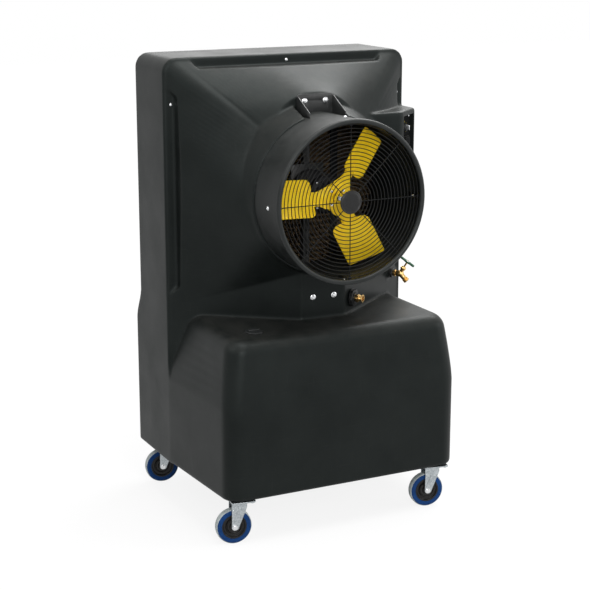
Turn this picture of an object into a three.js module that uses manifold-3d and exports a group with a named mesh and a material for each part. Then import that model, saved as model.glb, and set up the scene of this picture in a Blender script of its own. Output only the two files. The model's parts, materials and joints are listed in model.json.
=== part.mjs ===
// Portable evaporative cooler: a moulded hollow housing with a water tank, cooling pads at the back,
// a ducted fan at the front and four swivel casters. Millimetres, +Z up, front towards -Y.
// The origin is on the floor, in the middle of the overall width and depth.
import * as THREE from 'three';
import { mergeVertices } from 'three/addons/utils/BufferGeometryUtils.js';
import Module from 'manifold-3d';

const wasm = await Module();
wasm.setup();

// ---- Driving dimensions ----
const gap = 0.3; // clearance between pieces that seat on each other
const wall = 8; // moulded wall of the housing

const overallDepth = 962; // back of the tank to the front of the duct lip
const overallWidth = 1130;
const overallHeight = 1930;
const floorClearance = 191; // floor to the underside of the tank

const cabinetSetback = 54; // cabinet back behind the tank back
const rimDepth = 375; // tank back to the front rim of the cabinet
const cabinetCorner = 60; // radius of the two top corners
const tankDepth = 927; // tank back to the tank front
const tankFrontHalf = 533.5; // half width of the tank front
const tankCorner = 72; // radius of the front vertical corners
const tankSideTop = 575; // height where the tank sides start to slope in
const deckHeight = 856; // middle of the tank deck
const deckFall = 0.02; // deck slope towards the front
const deckEdgeRound = 52;
const deckRearHalf = 482;
const deckFrontHalf = 508;
const deckFrontDepth = 893;
const shoulderLow = 764; // where the tank back starts to slope in
const shoulderHigh = 911;

const fanHeight = 1387; // fan axis above the floor
const ductRadius = 325; // outer radius of the fan duct
const ductWall = 3;
const ductSides = 60;
const lipRadius = 334;
const openingRadius = 313;
const ductBack = 560;
const collarRadius = 346; // moulded collar round the duct
const collarTopDepth = 625; // tank back to the collar, at the top of the duct
const collarLowDepth = 710; // the same, at the bottom
const shoulderHalf = 105; // flat above the collar
const shoulderHeight = 1790;
const chinHalf = 110; // flat chin below the collar
const rimChin = 880; // rim height level with the top of the chin
const funnelInset = 12; // rim edge to the start of the funnel

const landWidth = 48; // flat strips between the rim and the funnel
const landLow = 979;
const landHigh = 1773;
const landEnd = 60; // length of each slanted strip end
const topLandHalf = 418;
const topLandEnd = 50;
const topLandWidth = 45;

const bladeCount = 3;
const bladeRadius = 302;
const bladeRoot = 112;
const bladeChord = 164;
const bladePitch = THREE.MathUtils.degToRad(28);
const bladeThickness = 3;
const bladeCorner = 28;
const fanDepth = 830; // tank back to the middle of the fan
const bladePhase = THREE.MathUtils.degToRad(58);

const guardDepth = 940;
const guardRings = 17;
const guardRadius = 309.5;
const guardWire = 4.6;
const badgeRadius = 49;

const padCount = 4;
const padDepth = 200;
const padPost = 32;
const frameBottom = 905;
const frameTop = 1876.7;
const frameSkin = 10;

const casterSpreadX = 458;
const casterFront = 865.7; // tank back to the front swivels
const casterRear = 76.7;
const casterTrail = 32;
const casterTurn = -0.17; // all four trail this way, in radians
const wheelRadius = 75;
const wheelWidth = 38;
const wheelSides = 24;

const black = { color: 0x1b1d1d, roughness: 0.55, metalness: 0 };
const blackSteel = { color: 0x161718, roughness: 0.4, metalness: 0.3 };
const zinc = { color: 0xb9c0c4, roughness: 0.35, metalness: 0.9 };
const yellow = { color: 0xe9c32c, roughness: 0.45, metalness: 0 };
const brass = { color: 0xb9924a, roughness: 0.3, metalness: 1 };
const paper = { color: 0x5d4c34, roughness: 0.95, metalness: 0 };
const blue = { color: 0x1f4f93, roughness: 0.6, metalness: 0 };
const greySteel = { color: 0x8d9294, roughness: 0.4, metalness: 0.8 };

// ---- Helpers ----
const cooler = new THREE.Group();
const halfWidth = overallWidth / 2;
const { degToRad, lerp, smoothstep } = THREE.MathUtils;
// Y of a plane that lies this far in front of the tank back.
const ahead = (distance) => overallDepth / 2 - distance;

function solid(geometry) {
  const plain = geometry.clone();
  plain.deleteAttribute('normal');
  plain.deleteAttribute('uv');
  const merged = mergeVertices(plain, 1e-4);
  return new wasm.Manifold(new wasm.Mesh({
    numProp: 3,
    vertProperties: new Float32Array(merged.attributes.position.array),
    triVerts: new Uint32Array(merged.index.array),
  }));
}

function geometryOf(manifold) {
  const mesh = manifold.getMesh();
  const geometry = new THREE.BufferGeometry();
  geometry.setAttribute('position', new THREE.BufferAttribute(new Float32Array(mesh.vertProperties), 3));
  geometry.setIndex(new THREE.BufferAttribute(new Uint32Array(mesh.triVerts), 1));
  geometry.computeVertexNormals();
  return geometry;
}

function addMesh(name, shape, finish, parent = cooler) {
  const geometry = shape.isBufferGeometry ? shape : geometryOf(shape);
  const mesh = new THREE.Mesh(geometry, new THREE.MeshStandardMaterial(finish));
  mesh.name = name;
  parent.add(mesh);
  return mesh;
}

function box(x0, x1, y0, y1, z0, z1) {
  const geometry = new THREE.BoxGeometry(Math.abs(x1 - x0), Math.abs(y1 - y0), Math.abs(z1 - z0));
  geometry.translate((x0 + x1) / 2, (y0 + y1) / 2, (z0 + z1) / 2);
  return solid(geometry);
}

// A rod from start to end, both THREE.Vector3.
function rod(start, end, radius, sides = 24) {
  const direction = end.clone().sub(start);
  const geometry = new THREE.CylinderGeometry(radius, radius, direction.length(), sides);
  const turn = new THREE.Quaternion().setFromUnitVectors(new THREE.Vector3(0, 1, 0), direction.normalize());
  geometry.applyQuaternion(turn);
  geometry.translate((start.x + end.x) / 2, (start.y + end.y) / 2, (start.z + end.z) / 2);
  return solid(geometry);
}

const at = (x, y, z) => new THREE.Vector3(x, y, z);
const rodX = (x0, x1, y, z, radius, sides) => rod(at(x0, y, z), at(x1, y, z), radius, sides);
const rodY = (x, y0, y1, z, radius, sides) => rod(at(x, y0, z), at(x, y1, z), radius, sides);
const rodZ = (x, y, z0, z1, radius, sides) => rod(at(x, y, z0), at(x, y, z1), radius, sides);

function shapeOf(points) {
  return new THREE.Shape(points.map(([u, v]) => new THREE.Vector2(u, v)));
}

// An outline in X and Z, extruded along Y between y0 and y1.
function slabY(points, y0, y1) {
  const geometry = new THREE.ExtrudeGeometry(shapeOf(points), { depth: Math.abs(y1 - y0), bevelEnabled: false });
  geometry.rotateX(Math.PI / 2);
  geometry.translate(0, Math.max(y0, y1), 0);
  return solid(geometry);
}

// An outline in Y and Z, extruded along X between x0 and x1.
function slabX(points, x0, x1) {
  const geometry = new THREE.ExtrudeGeometry(shapeOf(points), { depth: Math.abs(x1 - x0), bevelEnabled: false });
  geometry.rotateX(Math.PI / 2);
  geometry.rotateZ(Math.PI / 2);
  geometry.translate(Math.min(x0, x1), 0, 0);
  return solid(geometry);
}

// An outline in X and Y, extruded along Z, with its edges rounded by bevel.
function slabZ(points, z0, z1, bevel = 0) {
  const geometry = new THREE.ExtrudeGeometry(shapeOf(points), {
    depth: z1 - z0 - 2 * bevel,
    bevelEnabled: bevel > 0,
    bevelThickness: bevel,
    bevelSize: bevel,
    bevelOffset: -bevel,
    bevelSegments: 3,
  });
  geometry.translate(0, 0, z0 + bevel);
  return solid(geometry);
}

// A turned piece: [radius, height] points round the Z axis.
function turned(points, sides = 32, start = 0) {
  const profile = points.map(([radius, height]) => new THREE.Vector2(radius, height));
  const geometry = new THREE.LatheGeometry(profile, sides, start);
  geometry.rotateX(Math.PI / 2);
  const piece = solid(geometry);
  return piece.volume() < 0 ? solid(flipped(geometry)) : piece;
}

function flipped(geometry) {
  const copy = geometry.clone();
  const index = copy.index.array;
  for (let i = 0; i < index.length; i += 3) {
    [index[i], index[i + 1]] = [index[i + 1], index[i]];
  }
  return copy;
}

// Rings of equal point counts joined into one closed body; the first and last are capped from a centre.
function loft(rings, firstCentre, lastCentre) {
  const count = rings[0].length;
  const positions = rings.flat(2);
  const index = [];
  for (let r = 0; r < rings.length - 1; r += 1) {
    for (let i = 0; i < count; i += 1) {
      const a = r * count + i;
      const b = r * count + ((i + 1) % count);
      index.push(a, b, b + count, a, b + count, a + count);
    }
  }
  const first = rings.length * count;
  const last = first + 1;
  positions.push(...firstCentre, ...lastCentre);
  const top = (rings.length - 1) * count;
  for (let i = 0; i < count; i += 1) {
    const next = (i + 1) % count;
    index.push(first, next, i);
    index.push(last, top + i, top + next);
  }
  const geometry = new THREE.BufferGeometry();
  geometry.setAttribute('position', new THREE.Float32BufferAttribute(positions, 3));
  geometry.setIndex(index);
  const piece = solid(geometry);
  return piece.volume() < 0 ? solid(flipped(geometry)) : piece;
}

// An outline with rounded corners: each corner is [u, v, radius].
function rounded(corners, steps = 5) {
  const points = [];
  corners.forEach(([u, v, radius], i) => {
    const before = corners[(i + corners.length - 1) % corners.length];
    const after = corners[(i + 1) % corners.length];
    if (!radius) {
      points.push([u, v]);
      return;
    }
    const corner = new THREE.Vector2(u, v);
    const back = new THREE.Vector2(before[0], before[1]).sub(corner).normalize();
    const on = new THREE.Vector2(after[0], after[1]).sub(corner).normalize();
    const halfAngle = Math.acos(THREE.MathUtils.clamp(back.dot(on), -1, 1)) / 2;
    const reach = radius / Math.tan(halfAngle);
    const centre = corner.clone().addScaledVector(back.clone().add(on).normalize(), radius / Math.sin(halfAngle));
    const from = corner.clone().addScaledVector(back, reach).sub(centre);
    const to = corner.clone().addScaledVector(on, reach).sub(centre);
    let sweep = Math.atan2(to.y, to.x) - Math.atan2(from.y, from.x);
    if (sweep > Math.PI) sweep -= 2 * Math.PI;
    if (sweep < -Math.PI) sweep += 2 * Math.PI;
    for (let s = 0; s <= steps; s += 1) {
      const turnBy = (sweep * s) / steps;
      const p = from.clone().rotateAround(new THREE.Vector2(), turnBy).add(centre);
      points.push([p.x, p.y]);
    }
  });
  return points;
}

const cut = (piece, ...tools) => tools.reduce((left, tool) => left.subtract(tool), piece);
const join = (...pieces) => pieces.reduce((sum, piece) => sum.add(piece));

// ---- Housing ----
const rimY = ahead(rimDepth);

// The cabinet's front outline from a given height up, extruded along Y. inset shrinks it.
function cabinetOutline(inset, bottom, back, front) {
  const half = halfWidth - inset;
  const top = overallHeight - inset;
  const corner = cabinetCorner - inset;
  return slabY(rounded([
    [-half, bottom, 0],
    [half, bottom, 0],
    [half, top, corner],
    [-half, top, corner],
  ]), back, front);
}

// The upright cabinet, with the tank back below it.
function cabinetBlock(inset) {
  const front = cabinetOutline(inset, floorClearance + inset, ahead(-10), rimY + inset);
  const side = slabX([
    [rimY + inset, floorClearance + inset],
    [ahead(inset), floorClearance + inset],
    [ahead(inset), shoulderLow],
    [ahead(lerp(0, cabinetSetback, 0.12) + inset), lerp(shoulderLow, shoulderHigh, 0.25)],
    [ahead(lerp(0, cabinetSetback, 0.88) + inset), lerp(shoulderLow, shoulderHigh, 0.75)],
    [ahead(cabinetSetback + inset), shoulderHigh],
    [ahead(cabinetSetback + inset), overallHeight + 10],
    [rimY + inset, overallHeight + 10],
  ], -halfWidth - 10, halfWidth + 10);
  return front.intersect(side);
}

// One level of the tank: sink is 0 at the vertical sides and 1 at the edge of the deck.
function tankRing(level, sink, inset, edge) {
  const rearHalf = lerp(halfWidth - 0.2, deckRearHalf, sink) - inset - edge;
  const frontHalf = lerp(tankFrontHalf, deckFrontHalf, sink) - inset - edge;
  const front = ahead(lerp(tankDepth, deckFrontDepth, sink) - inset - edge);
  const corner = tankCorner - inset - edge * 0.6;
  const back = rimY + 35 - inset;
  const outline = rounded([
    [rearHalf, back, 0],
    [-rearHalf, back, 0],
    [-rearHalf, rimY, 0],
    [-frontHalf, front, corner],
    [frontHalf, front, corner],
    [rearHalf, rimY, 0],
  ], 6);
  const deckMiddle = ahead((rimDepth + deckFrontDepth) / 2);
  const fall = sink * deckFall;
  return outline.map(([x, y]) => [x, y, level + (y - deckMiddle) * fall]);
}

function tankBlock(inset) {
  const bottomRound = 14;
  const bottom = floorClearance + inset;
  const deck = deckHeight - inset;
  const rings = inset
    ? [tankRing(bottom, 0, inset, 0)]
    : [tankRing(bottom, 0, 0, bottomRound), tankRing(bottom + 4, 0, 0, 4), tankRing(bottom + bottomRound, 0, 0, 0)];
  rings.push(tankRing(tankSideTop, 0, inset, 0));
  const roundStart = deck - deckEdgeRound;
  const sinkAtRound = (roundStart - tankSideTop) / (deck - tankSideTop);
  rings.push(tankRing(lerp(tankSideTop, roundStart, 0.5), sinkAtRound * 0.42, inset, 0));
  const steps = 4;
  for (let s = 0; s <= steps; s += 1) {
    const angle = (s / steps) * (Math.PI / 2);
    const level = roundStart + deckEdgeRound * Math.sin(angle);
    const sink = lerp(sinkAtRound, 1, Math.sin(angle));
    rings.push(tankRing(level, sink, inset, deckEdgeRound * (1 - Math.cos(angle)) * 0.9));
  }
  const middle = ahead((rimDepth + tankDepth) / 2);
  return loft(rings, [0, middle, bottom], [0, middle, deck]);
}

// Depth of the collar edge at an angle round the fan axis, counted from +X towards +Z.
function collarDepth(angle) {
  const fromTop = Math.abs(Math.PI / 2 - angle) / Math.PI;
  return lerp(collarTopDepth, collarLowDepth, smoothstep(fromTop, 0.1, 0.625));
}

// The funnel's outline at the rim and at the collar, point for point, for the right half from the
// bottom to the top. inset moves both inwards by a moulded wall.
function funnelHalf(inset) {
  const rim = [];
  const collar = [];
  const side = inset * 1.2; // a slanted wall is thicker when measured square to the fan axis
  const radius = collarRadius - side;
  const chin = chinHalf - inset * 1.65;
  const rimHalf = halfWidth - funnelInset - side;
  const rimTop = overallHeight - funnelInset - side;
  const rimCorner = cabinetCorner - funnelInset;
  const rimLow = tankSideTop - 20 + inset * 2;
  const tankTop = deckHeight - 60 + inset * 2;
  const chinTop = Math.asin(chin / radius) - Math.PI / 2;
  const chinJoin = fanHeight + radius * Math.sin(chinTop);
  const chinSteps = 2;
  for (let s = 0; s <= chinSteps; s += 1) {
    rim.push([rimHalf - inset * 0.45, lerp(rimLow, rimChin, s / chinSteps)]);
    collar.push([chin, lerp(tankTop, chinJoin, s / chinSteps), collarLowDepth]);
  }
  const ridge = Math.PI / 4;
  const arcSteps = 14;
  for (let s = 1; s <= arcSteps; s += 1) {
    const angle = lerp(chinTop, ridge, s / arcSteps);
    const along = s / arcSteps;
    rim.push([rimHalf, lerp(rimChin, rimTop - rimCorner, along)]);
    collar.push([radius * Math.cos(angle), fanHeight + radius * Math.sin(angle), collarDepth(angle)]);
  }
  const cornerSteps = 4;
  for (let s = 1; s <= cornerSteps; s += 1) {
    const turnBy = (s / cornerSteps) * (Math.PI / 2);
    const angle = lerp(ridge, ridge + 0.06, s / cornerSteps);
    rim.push([
      rimHalf - rimCorner + rimCorner * Math.cos(turnBy),
      rimTop - rimCorner + rimCorner * Math.sin(turnBy),
    ]);
    collar.push([radius * Math.cos(angle), fanHeight + radius * Math.sin(angle), collarDepth(angle)]);
  }
  const [ridgeX, ridgeZ] = collar.at(-1);
  const flatHalf = shoulderHalf - side * 0.5;
  const flatTop = shoulderHeight - side;
  const topSteps = 4;
  for (let s = 1; s <= topSteps; s += 1) {
    const share = s / topSteps;
    const angle = lerp(ridge, Math.PI / 2 - 0.26, share);
    rim.push([lerp(rimHalf - rimCorner, flatHalf, share), rimTop]);
    collar.push([lerp(ridgeX, flatHalf, share), lerp(ridgeZ, flatTop, share), collarDepth(angle)]);
  }
  return { rim, collar };
}

// Both halves of a ring, in order round the fan axis.
function bothHalves(half) {
  const left = half.map(([x, y, z]) => [-x, y, z]).reverse();
  return [...half, ...left];
}

// Points of a ring drawn in to a circle round the fan axis, which keeps the end face square.
function drawnIn(half, radius) {
  return half.map(([x, y, z]) => {
    const angle = Math.atan2(z - fanHeight, x);
    return [radius * Math.cos(angle), y, fanHeight + radius * Math.sin(angle)];
  });
}

function funnelBlock() {
  const edgeRound = 7;
  const { rim, collar } = funnelHalf(0);
  const end = funnelHalf(edgeRound * 0.75).collar.map(([x, z, depth]) => [x, ahead(depth), z]);
  const rings = [
    rim.map(([x, z]) => [x, rimY + 20, z]),
    rim.map(([x, z]) => [x, rimY, z]),
    collar.map(([x, z, depth]) => [x, ahead(depth - edgeRound), z]),
    end,
    drawnIn(end, ductRadius - 20),
  ].map(bothHalves);
  return loft(rings, [0, rimY + 20, fanHeight], [0, ahead(collarLowDepth), fanHeight]);
}

function funnelHollow() {
  const { rim, collar } = funnelHalf(wall);
  const end = collar.map(([x, z, depth]) => [x, ahead(depth - wall), z]);
  const rings = [
    rim.map(([x, z]) => [x, rimY + 40, z]),
    rim.map(([x, z]) => [x, rimY, z]),
    end,
    drawnIn(end, ductRadius - 20),
  ].map(bothHalves);
  const block = loft(rings, [0, rimY + 40, fanHeight], [0, ahead(collarLowDepth - wall), fanHeight]);
  return cut(block, ...landCuts(wall));
}

// Slanted right-hand faces: the chin face carries the drain and the water inlet.
const chinStart = at(chinHalf, ahead(collarLowDepth), 0);
const chinRun = at(halfWidth - funnelInset, rimY, 0).sub(chinStart).normalize();
const chinNormal = at(-chinRun.y, chinRun.x, 0).negate();
const chinTurn = Math.atan2(chinNormal.y, chinNormal.x);
const drainPlace = chinStart.clone().addScaledVector(chinRun, 58).setZ(920);
const inletPlace = chinStart.clone().addScaledVector(chinRun, 442).setZ(950);
const inletBoss = 14;
const drainRadius = 19;
const inletRadius = 13;

// Control box on the upper right, with a slanted face for the control panel.
const boxFrontDepth = 600;
const boxSideDepth = 492;
const boxFrontX = 434;
const boxSideX = halfWidth - 5;
const boxLow = 1460;
const boxHigh = 1684;
const boxRound = 14;
const panelRun = at(boxSideX - boxFrontX, boxFrontDepth - boxSideDepth, 0);
const panelFaceLength = panelRun.length();
panelRun.normalize();
const panelNormal = at(panelRun.y, -panelRun.x, 0);
const panelTurn = Math.atan2(panelNormal.y, panelNormal.x);
const panelRecess = 22;
const panelRim = 15;
const panelHeight = boxHigh - boxLow - 2 * (panelRim + boxRound / 2);
const panelWidth = panelFaceLength - 2 * panelRim;
const panelMiddle = at(boxFrontX, ahead(boxFrontDepth), (boxLow + boxHigh) / 2)
  .addScaledVector(panelRun, panelFaceLength / 2);

function controlBlock(inset) {
  const back = rimY + (inset ? 45 : 20);
  return slabZ([
    [170 + inset, back],
    [170 + inset, ahead(boxFrontDepth - inset)],
    [boxFrontX - inset * 0.4, ahead(boxFrontDepth - inset)],
    [boxSideX - inset, ahead(boxSideDepth - inset * 0.4)],
    [boxSideX - inset, back],
  ], boxLow + inset, boxHigh - inset, inset ? 0 : boxRound);
}

// A piece built along +X is turned to face along a slanted normal and moved to its place.
const placed = (piece, turn, place) => piece.rotate([0, 0, THREE.MathUtils.radToDeg(turn)])
  .translate([place.x, place.y, place.z]);

const boltHole = 4.3;
const chinBoltX = 49;
const chinBoltZ = 951;
const topBoltX = 48.5;
const topBoltZ = 1757;
const shoulderY = ahead(collarTopDepth);
const capPlace = at(-350, ahead(772), 0);
const capRadius = 37;
const capNeck = 30;
const deckSlope = Math.atan(deckFall);
const deckMid = ahead((rimDepth + deckFrontDepth) / 2);
capPlace.z = deckHeight + (capPlace.y - deckMid) * deckFall;

// The bay of the pad frame inside the cabinet.
const frameHalf = halfWidth - wall - gap;
const frameRear = ahead(cabinetSetback + 2);
const frameFront = frameRear - padDepth - 2 * frameSkin;
const ledge = 26;

// The notches that leave flat strips round the front of the rim. grow widens them by a wall.
function landCuts(grow = 0) {
  const front = rimY - 200;
  const back = rimY + grow;
  const outer = halfWidth + 5;
  const inner = halfWidth - landWidth - grow;
  const sideCut = (sign) => slabY([
    [sign * outer, landLow - landEnd - grow],
    [sign * inner, landLow - grow],
    [sign * inner, landHigh + grow],
    [sign * outer, landHigh + landEnd + grow],
  ], back, front);
  const high = overallHeight + 5;
  const low = overallHeight - topLandWidth - grow;
  const topCut = slabY([
    [-topLandHalf - grow, low],
    [topLandHalf + grow, low],
    [topLandHalf + topLandEnd + grow, high],
    [-topLandHalf - topLandEnd - grow, high],
  ], back, front);
  return [sideCut(1), sideCut(-1), topCut];
}

function housing() {
  const shell = join(
    cabinetBlock(0),
    tankBlock(0),
    cut(funnelBlock(), ...landCuts()),
    cut(controlBlock(0), ...landCuts().slice(2)),
  );
  const inletPad = placed(rodX(-40, inletBoss, 0, 0, 26, 20), chinTurn, inletPlace);
  const hollow = join(
    cabinetBlock(wall),
    tankBlock(wall),
    funnelHollow(),
    cabinetOutline(wall, frameBottom - 12, ahead(-20), ahead(cabinetSetback + 30))
      .intersect(box(-halfWidth, halfWidth, ahead(-30), ahead(cabinetSetback + 40), 0, frameTop + 2)),
  );
  const controlHollow = cut(controlBlock(wall),
    placed(box(-panelRecess - wall, 10, -panelFaceLength, panelFaceLength, -200, 200), panelTurn, panelMiddle));
  const ledgeFor = (sign) => box(
    sign * (halfWidth - wall - 0.5 + 1), sign * (halfWidth - wall - ledge),
    ahead(cabinetSetback + wall), frameFront - 4, frameBottom - 28, frameBottom - gap);
  const walls = join(cut(join(shell, inletPad), hollow), ledgeFor(1), ledgeFor(-1));
  const bore = rodY(0, ahead(ductBack - 30), ahead(collarLowDepth + 60), fanHeight, ductRadius + gap, ductSides);
  const panelWell = placed(join(
    box(-panelRecess, 40, -panelWidth / 2, panelWidth / 2, -panelHeight / 2, panelHeight / 2),
    box(-panelRecess - 2 * wall - 30, 0, -panelWidth / 2 + 14, panelWidth / 2 - 14,
      -panelHeight / 2 + 14, panelHeight / 2 - 14),
  ), panelTurn, panelMiddle);
  const boltHoles = [-1, 1].flatMap((sign) => [
    rodY(sign * chinBoltX, ahead(collarLowDepth - 40), ahead(collarLowDepth + 20), chinBoltZ, boltHole, 12),
    rodY(sign * topBoltX, ahead(collarTopDepth - 60), ahead(collarTopDepth + 20), topBoltZ, boltHole, 12),
  ]);
  const drainHole = placed(rodX(-60, 40, 0, 0, drainRadius + gap, 24), chinTurn, drainPlace);
  const inletHole = placed(rodX(-80, 60, 0, 0, inletRadius + gap, 20), chinTurn, inletPlace);
  const capHole = rodZ(0, 0, -60, 40, capNeck + gap, 32)
    .rotate([THREE.MathUtils.radToDeg(deckSlope), 0, 0])
    .translate([capPlace.x, capPlace.y, capPlace.z]);
  return cut(walls, bore, controlHollow, panelWell, ...boltHoles, drainHole, inletHole, capHole);
}

addMesh('housing', housing(), black);

// ---- Fan duct, its bracket and the guard ----
// A piece turned round the fan axis: [radius, distance in front of the tank back] points.
function turnedOnFan(points, sides) {
  const profile = points.map(([radius, distance]) => new THREE.Vector2(radius, ahead(distance)));
  const geometry = new THREE.LatheGeometry([...profile, profile[0]], sides);
  geometry.translate(0, 0, fanHeight);
  const piece = solid(geometry);
  return piece.volume() < 0 ? solid(flipped(geometry)) : piece;
}

const beadRadius = (lipRadius - openingRadius) / 2;
const beadCentre = (lipRadius + openingRadius) / 2;
const beadDepth = overallDepth - beadRadius;
const beadSteps = 6;
const bead = [];
for (let s = 0; s <= beadSteps; s += 1) {
  const angle = lerp(-Math.PI + 0.14, Math.PI - 0.14, s / beadSteps);
  bead.push([beadCentre + beadRadius * Math.sin(angle), beadDepth + beadRadius * Math.cos(angle)]);
}
addMesh('shroud', turnedOnFan([
  [ductRadius - ductWall, ductBack],
  ...bead,
  [ductRadius, ductBack],
], ductSides), black);

const plateThickness = 3;
const bracketHalf = 83;
const bracketTop = 1786;
const bracketFoot = 742;
const bracketBack = collarTopDepth + gap;
const ductClear = () => rodY(0, ahead(ductBack), ahead(overallDepth), fanHeight, ductRadius + gap, ductSides);
function bracketFlange(sign) {
  return slabX([
    [ahead(bracketBack), 1690],
    [ahead(bracketBack), bracketTop - 10],
    [ahead(bracketBack + 14), bracketTop - 10],
    [ahead(bracketFoot), 1722],
    [ahead(bracketFoot), 1690],
  ], sign * bracketHalf, sign * (bracketHalf - plateThickness));
}
const bracketPlate = slabY(rounded([
  [-bracketHalf, 1690, 0],
  [bracketHalf, 1690, 0],
  [bracketHalf, bracketTop, 14],
  [-bracketHalf, bracketTop, 14],
]), ahead(bracketBack), ahead(bracketBack + plateThickness));
addMesh('top_bracket', cut(
  join(bracketPlate, bracketFlange(1), bracketFlange(-1)),
  ductClear(),
  ...[-1, 1].map((sign) => rodY(sign * topBoltX, ahead(600), ahead(700), topBoltZ, boltHole, 12)),
), blackSteel);

const guardPitch = (guardRadius - badgeRadius - 14) / (guardRings - 1);
function guard() {
  const wires = [];
  for (let i = 0; i < guardRings; i += 1) {
    const radius = guardRadius - i * guardPitch;
    const ring = new THREE.TorusGeometry(radius, guardWire / 2, 4, radius > 190 ? 24 : 16);
    ring.rotateX(Math.PI / 2);
    ring.translate(0, ahead(guardDepth), fanHeight);
    wires.push(solid(ring));
  }
  const spokeBack = guardDepth - guardWire * 0.75;
  for (let i = 0; i < 8; i += 1) {
    const spoke = box(badgeRadius - 12, guardRadius, ahead(spokeBack + 2), ahead(spokeBack - 2), -2, 2);
    wires.push(spoke.rotate([0, i * 45, 0]).translate([0, 0, fanHeight]));
  }
  const hubRing = turnedOnFan([
    [badgeRadius - 16, guardDepth - 5],
    [badgeRadius - 16, guardDepth + guardWire / 2],
    [badgeRadius - 4, guardDepth + guardWire / 2],
    [badgeRadius - 4, guardDepth - 5],
  ], 20);
  const inner = (ductRadius - ductWall) * Math.cos(Math.PI / ductSides) - gap;
  for (let i = 0; i < 4; i += 1) {
    const leg = join(
      box(inner - 2.5, inner, ahead(850), ahead(guardDepth + 1), -7, 7),
      box(guardRadius - 4, inner, ahead(guardDepth - 2), ahead(guardDepth + 1), -7, 7),
    );
    wires.push(leg.rotate([0, i * 90, 0]).translate([0, 0, fanHeight]));
  }
  return join(hubRing, ...wires);
}
addMesh('guard', guard(), blackSteel);
addMesh('guard_badge', turnedOnFan([
  [0, guardDepth + guardWire / 2 + gap],
  [badgeRadius - 1, guardDepth + guardWire / 2 + gap],
  [badgeRadius - 1, guardDepth + guardWire / 2 + gap + 2],
  [badgeRadius - 4, guardDepth + guardWire / 2 + gap + 3.5],
  [0, guardDepth + guardWire / 2 + gap + 3.5],
], 32), black);

// ---- Fan ----
const shaftRadius = 9.5;
const motorFront = 765;
const motorBack = ductBack + 1 + gap;
const motorRadius = 82;
const hubRadius = 55;
const armReach = 150;
const armThickness = 4;
const bladeSag = 12; // camber of the blades

addMesh('fan_shaft', rodY(0, ahead(742), ahead(852), fanHeight, shaftRadius, 20), greySteel);

// Blade frame: +X along the blade, +Y across its chord, +Z off its front face.
function bladeShape() {
  const sagRadius = (bladeChord * bladeChord / 4 + bladeSag * bladeSag) / (2 * bladeSag);
  const half = Math.asin(bladeChord / 2 / sagRadius);
  const outerArc = [];
  const innerArc = [];
  const steps = 6;
  for (let s = 0; s <= steps; s += 1) {
    const angle = lerp(-half, half, s / steps);
    const lift = (sagRadius * (1 + Math.cos(half))) / 2;
    const outer = sagRadius + bladeThickness / 2;
    const inner = sagRadius - bladeThickness / 2;
    outerArc.push([outer * Math.sin(angle), lift - outer * Math.cos(angle)]);
    innerArc.push([inner * Math.sin(angle), lift - inner * Math.cos(angle)]);
  }
  const section = slabX([...outerArc, ...innerArc.reverse()], bladeRoot - 10, bladeRadius + 10);
  const outline = slabZ(rounded([
    [bladeRoot, -bladeChord / 2 + 2, bladeCorner],
    [bladeRadius + 6, -bladeChord / 2 + 2, bladeCorner],
    [bladeRadius + 6, bladeChord / 2 - 2, bladeCorner],
    [bladeRoot, bladeChord / 2 - 2, bladeCorner],
  ], 4), -60, 60);
  return section.intersect(outline);
}

// Turns a piece from the blade frame to its place on the fan.
function onFan(piece, angle) {
  return piece
    .rotate([90 + THREE.MathUtils.radToDeg(bladePitch), 0, 0])
    .rotate([0, -THREE.MathUtils.radToDeg(angle), 0])
    .translate([0, ahead(fanDepth), fanHeight]);
}

const bladeSweep = () => rodY(0, ahead(fanDepth - 80), ahead(fanDepth + 80), fanHeight, bladeRadius, 60);
const spiderArms = [];
for (let i = 0; i < bladeCount; i += 1) {
  const angle = bladePhase + (i * 2 * Math.PI) / bladeCount;
  addMesh(`fan_blade_${i + 1}`, onFan(bladeShape(), angle).intersect(bladeSweep()), yellow);
  const armTop = -bladeSag / 2 - bladeThickness / 2 - gap;
  spiderArms.push(onFan(slabZ(rounded([
    [10, -30, 0],
    [armReach, -30, 10],
    [armReach, 30, 10],
    [10, 30, 0],
  ], 3), armTop - armThickness, armTop), angle));
}
const hubDisc = turnedOnFan([
  [0, fanDepth - 24],
  [hubRadius, fanDepth - 24],
  [hubRadius, fanDepth - 2],
  [0, fanDepth - 2],
], 24);
const boss = turnedOnFan([
  [0, fanDepth - 28],
  [20, fanDepth - 28],
  [20, fanDepth + 14],
  [0, fanDepth + 14],
], 16);
addMesh('fan_spider', cut(
  join(hubDisc, boss, ...spiderArms),
  rodY(0, ahead(700), ahead(900), fanHeight, shaftRadius + gap, 20),
), yellow);

// ---- Motor and the post that carries it ----
const motorBody = turnedOnFan([
  [0, motorBack],
  [motorRadius - 10, motorBack],
  [motorRadius, motorBack + 12],
  [motorRadius, motorFront - 30],
  [motorRadius - 22, motorFront - 14],
  [24, motorFront - 12],
  [22, motorFront],
  [0, motorFront],
], 32);
addMesh('motor', cut(
  motorBody,
  rodY(0, ahead(738), ahead(780), fanHeight, shaftRadius + gap, 20),
), blackSteel);

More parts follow.
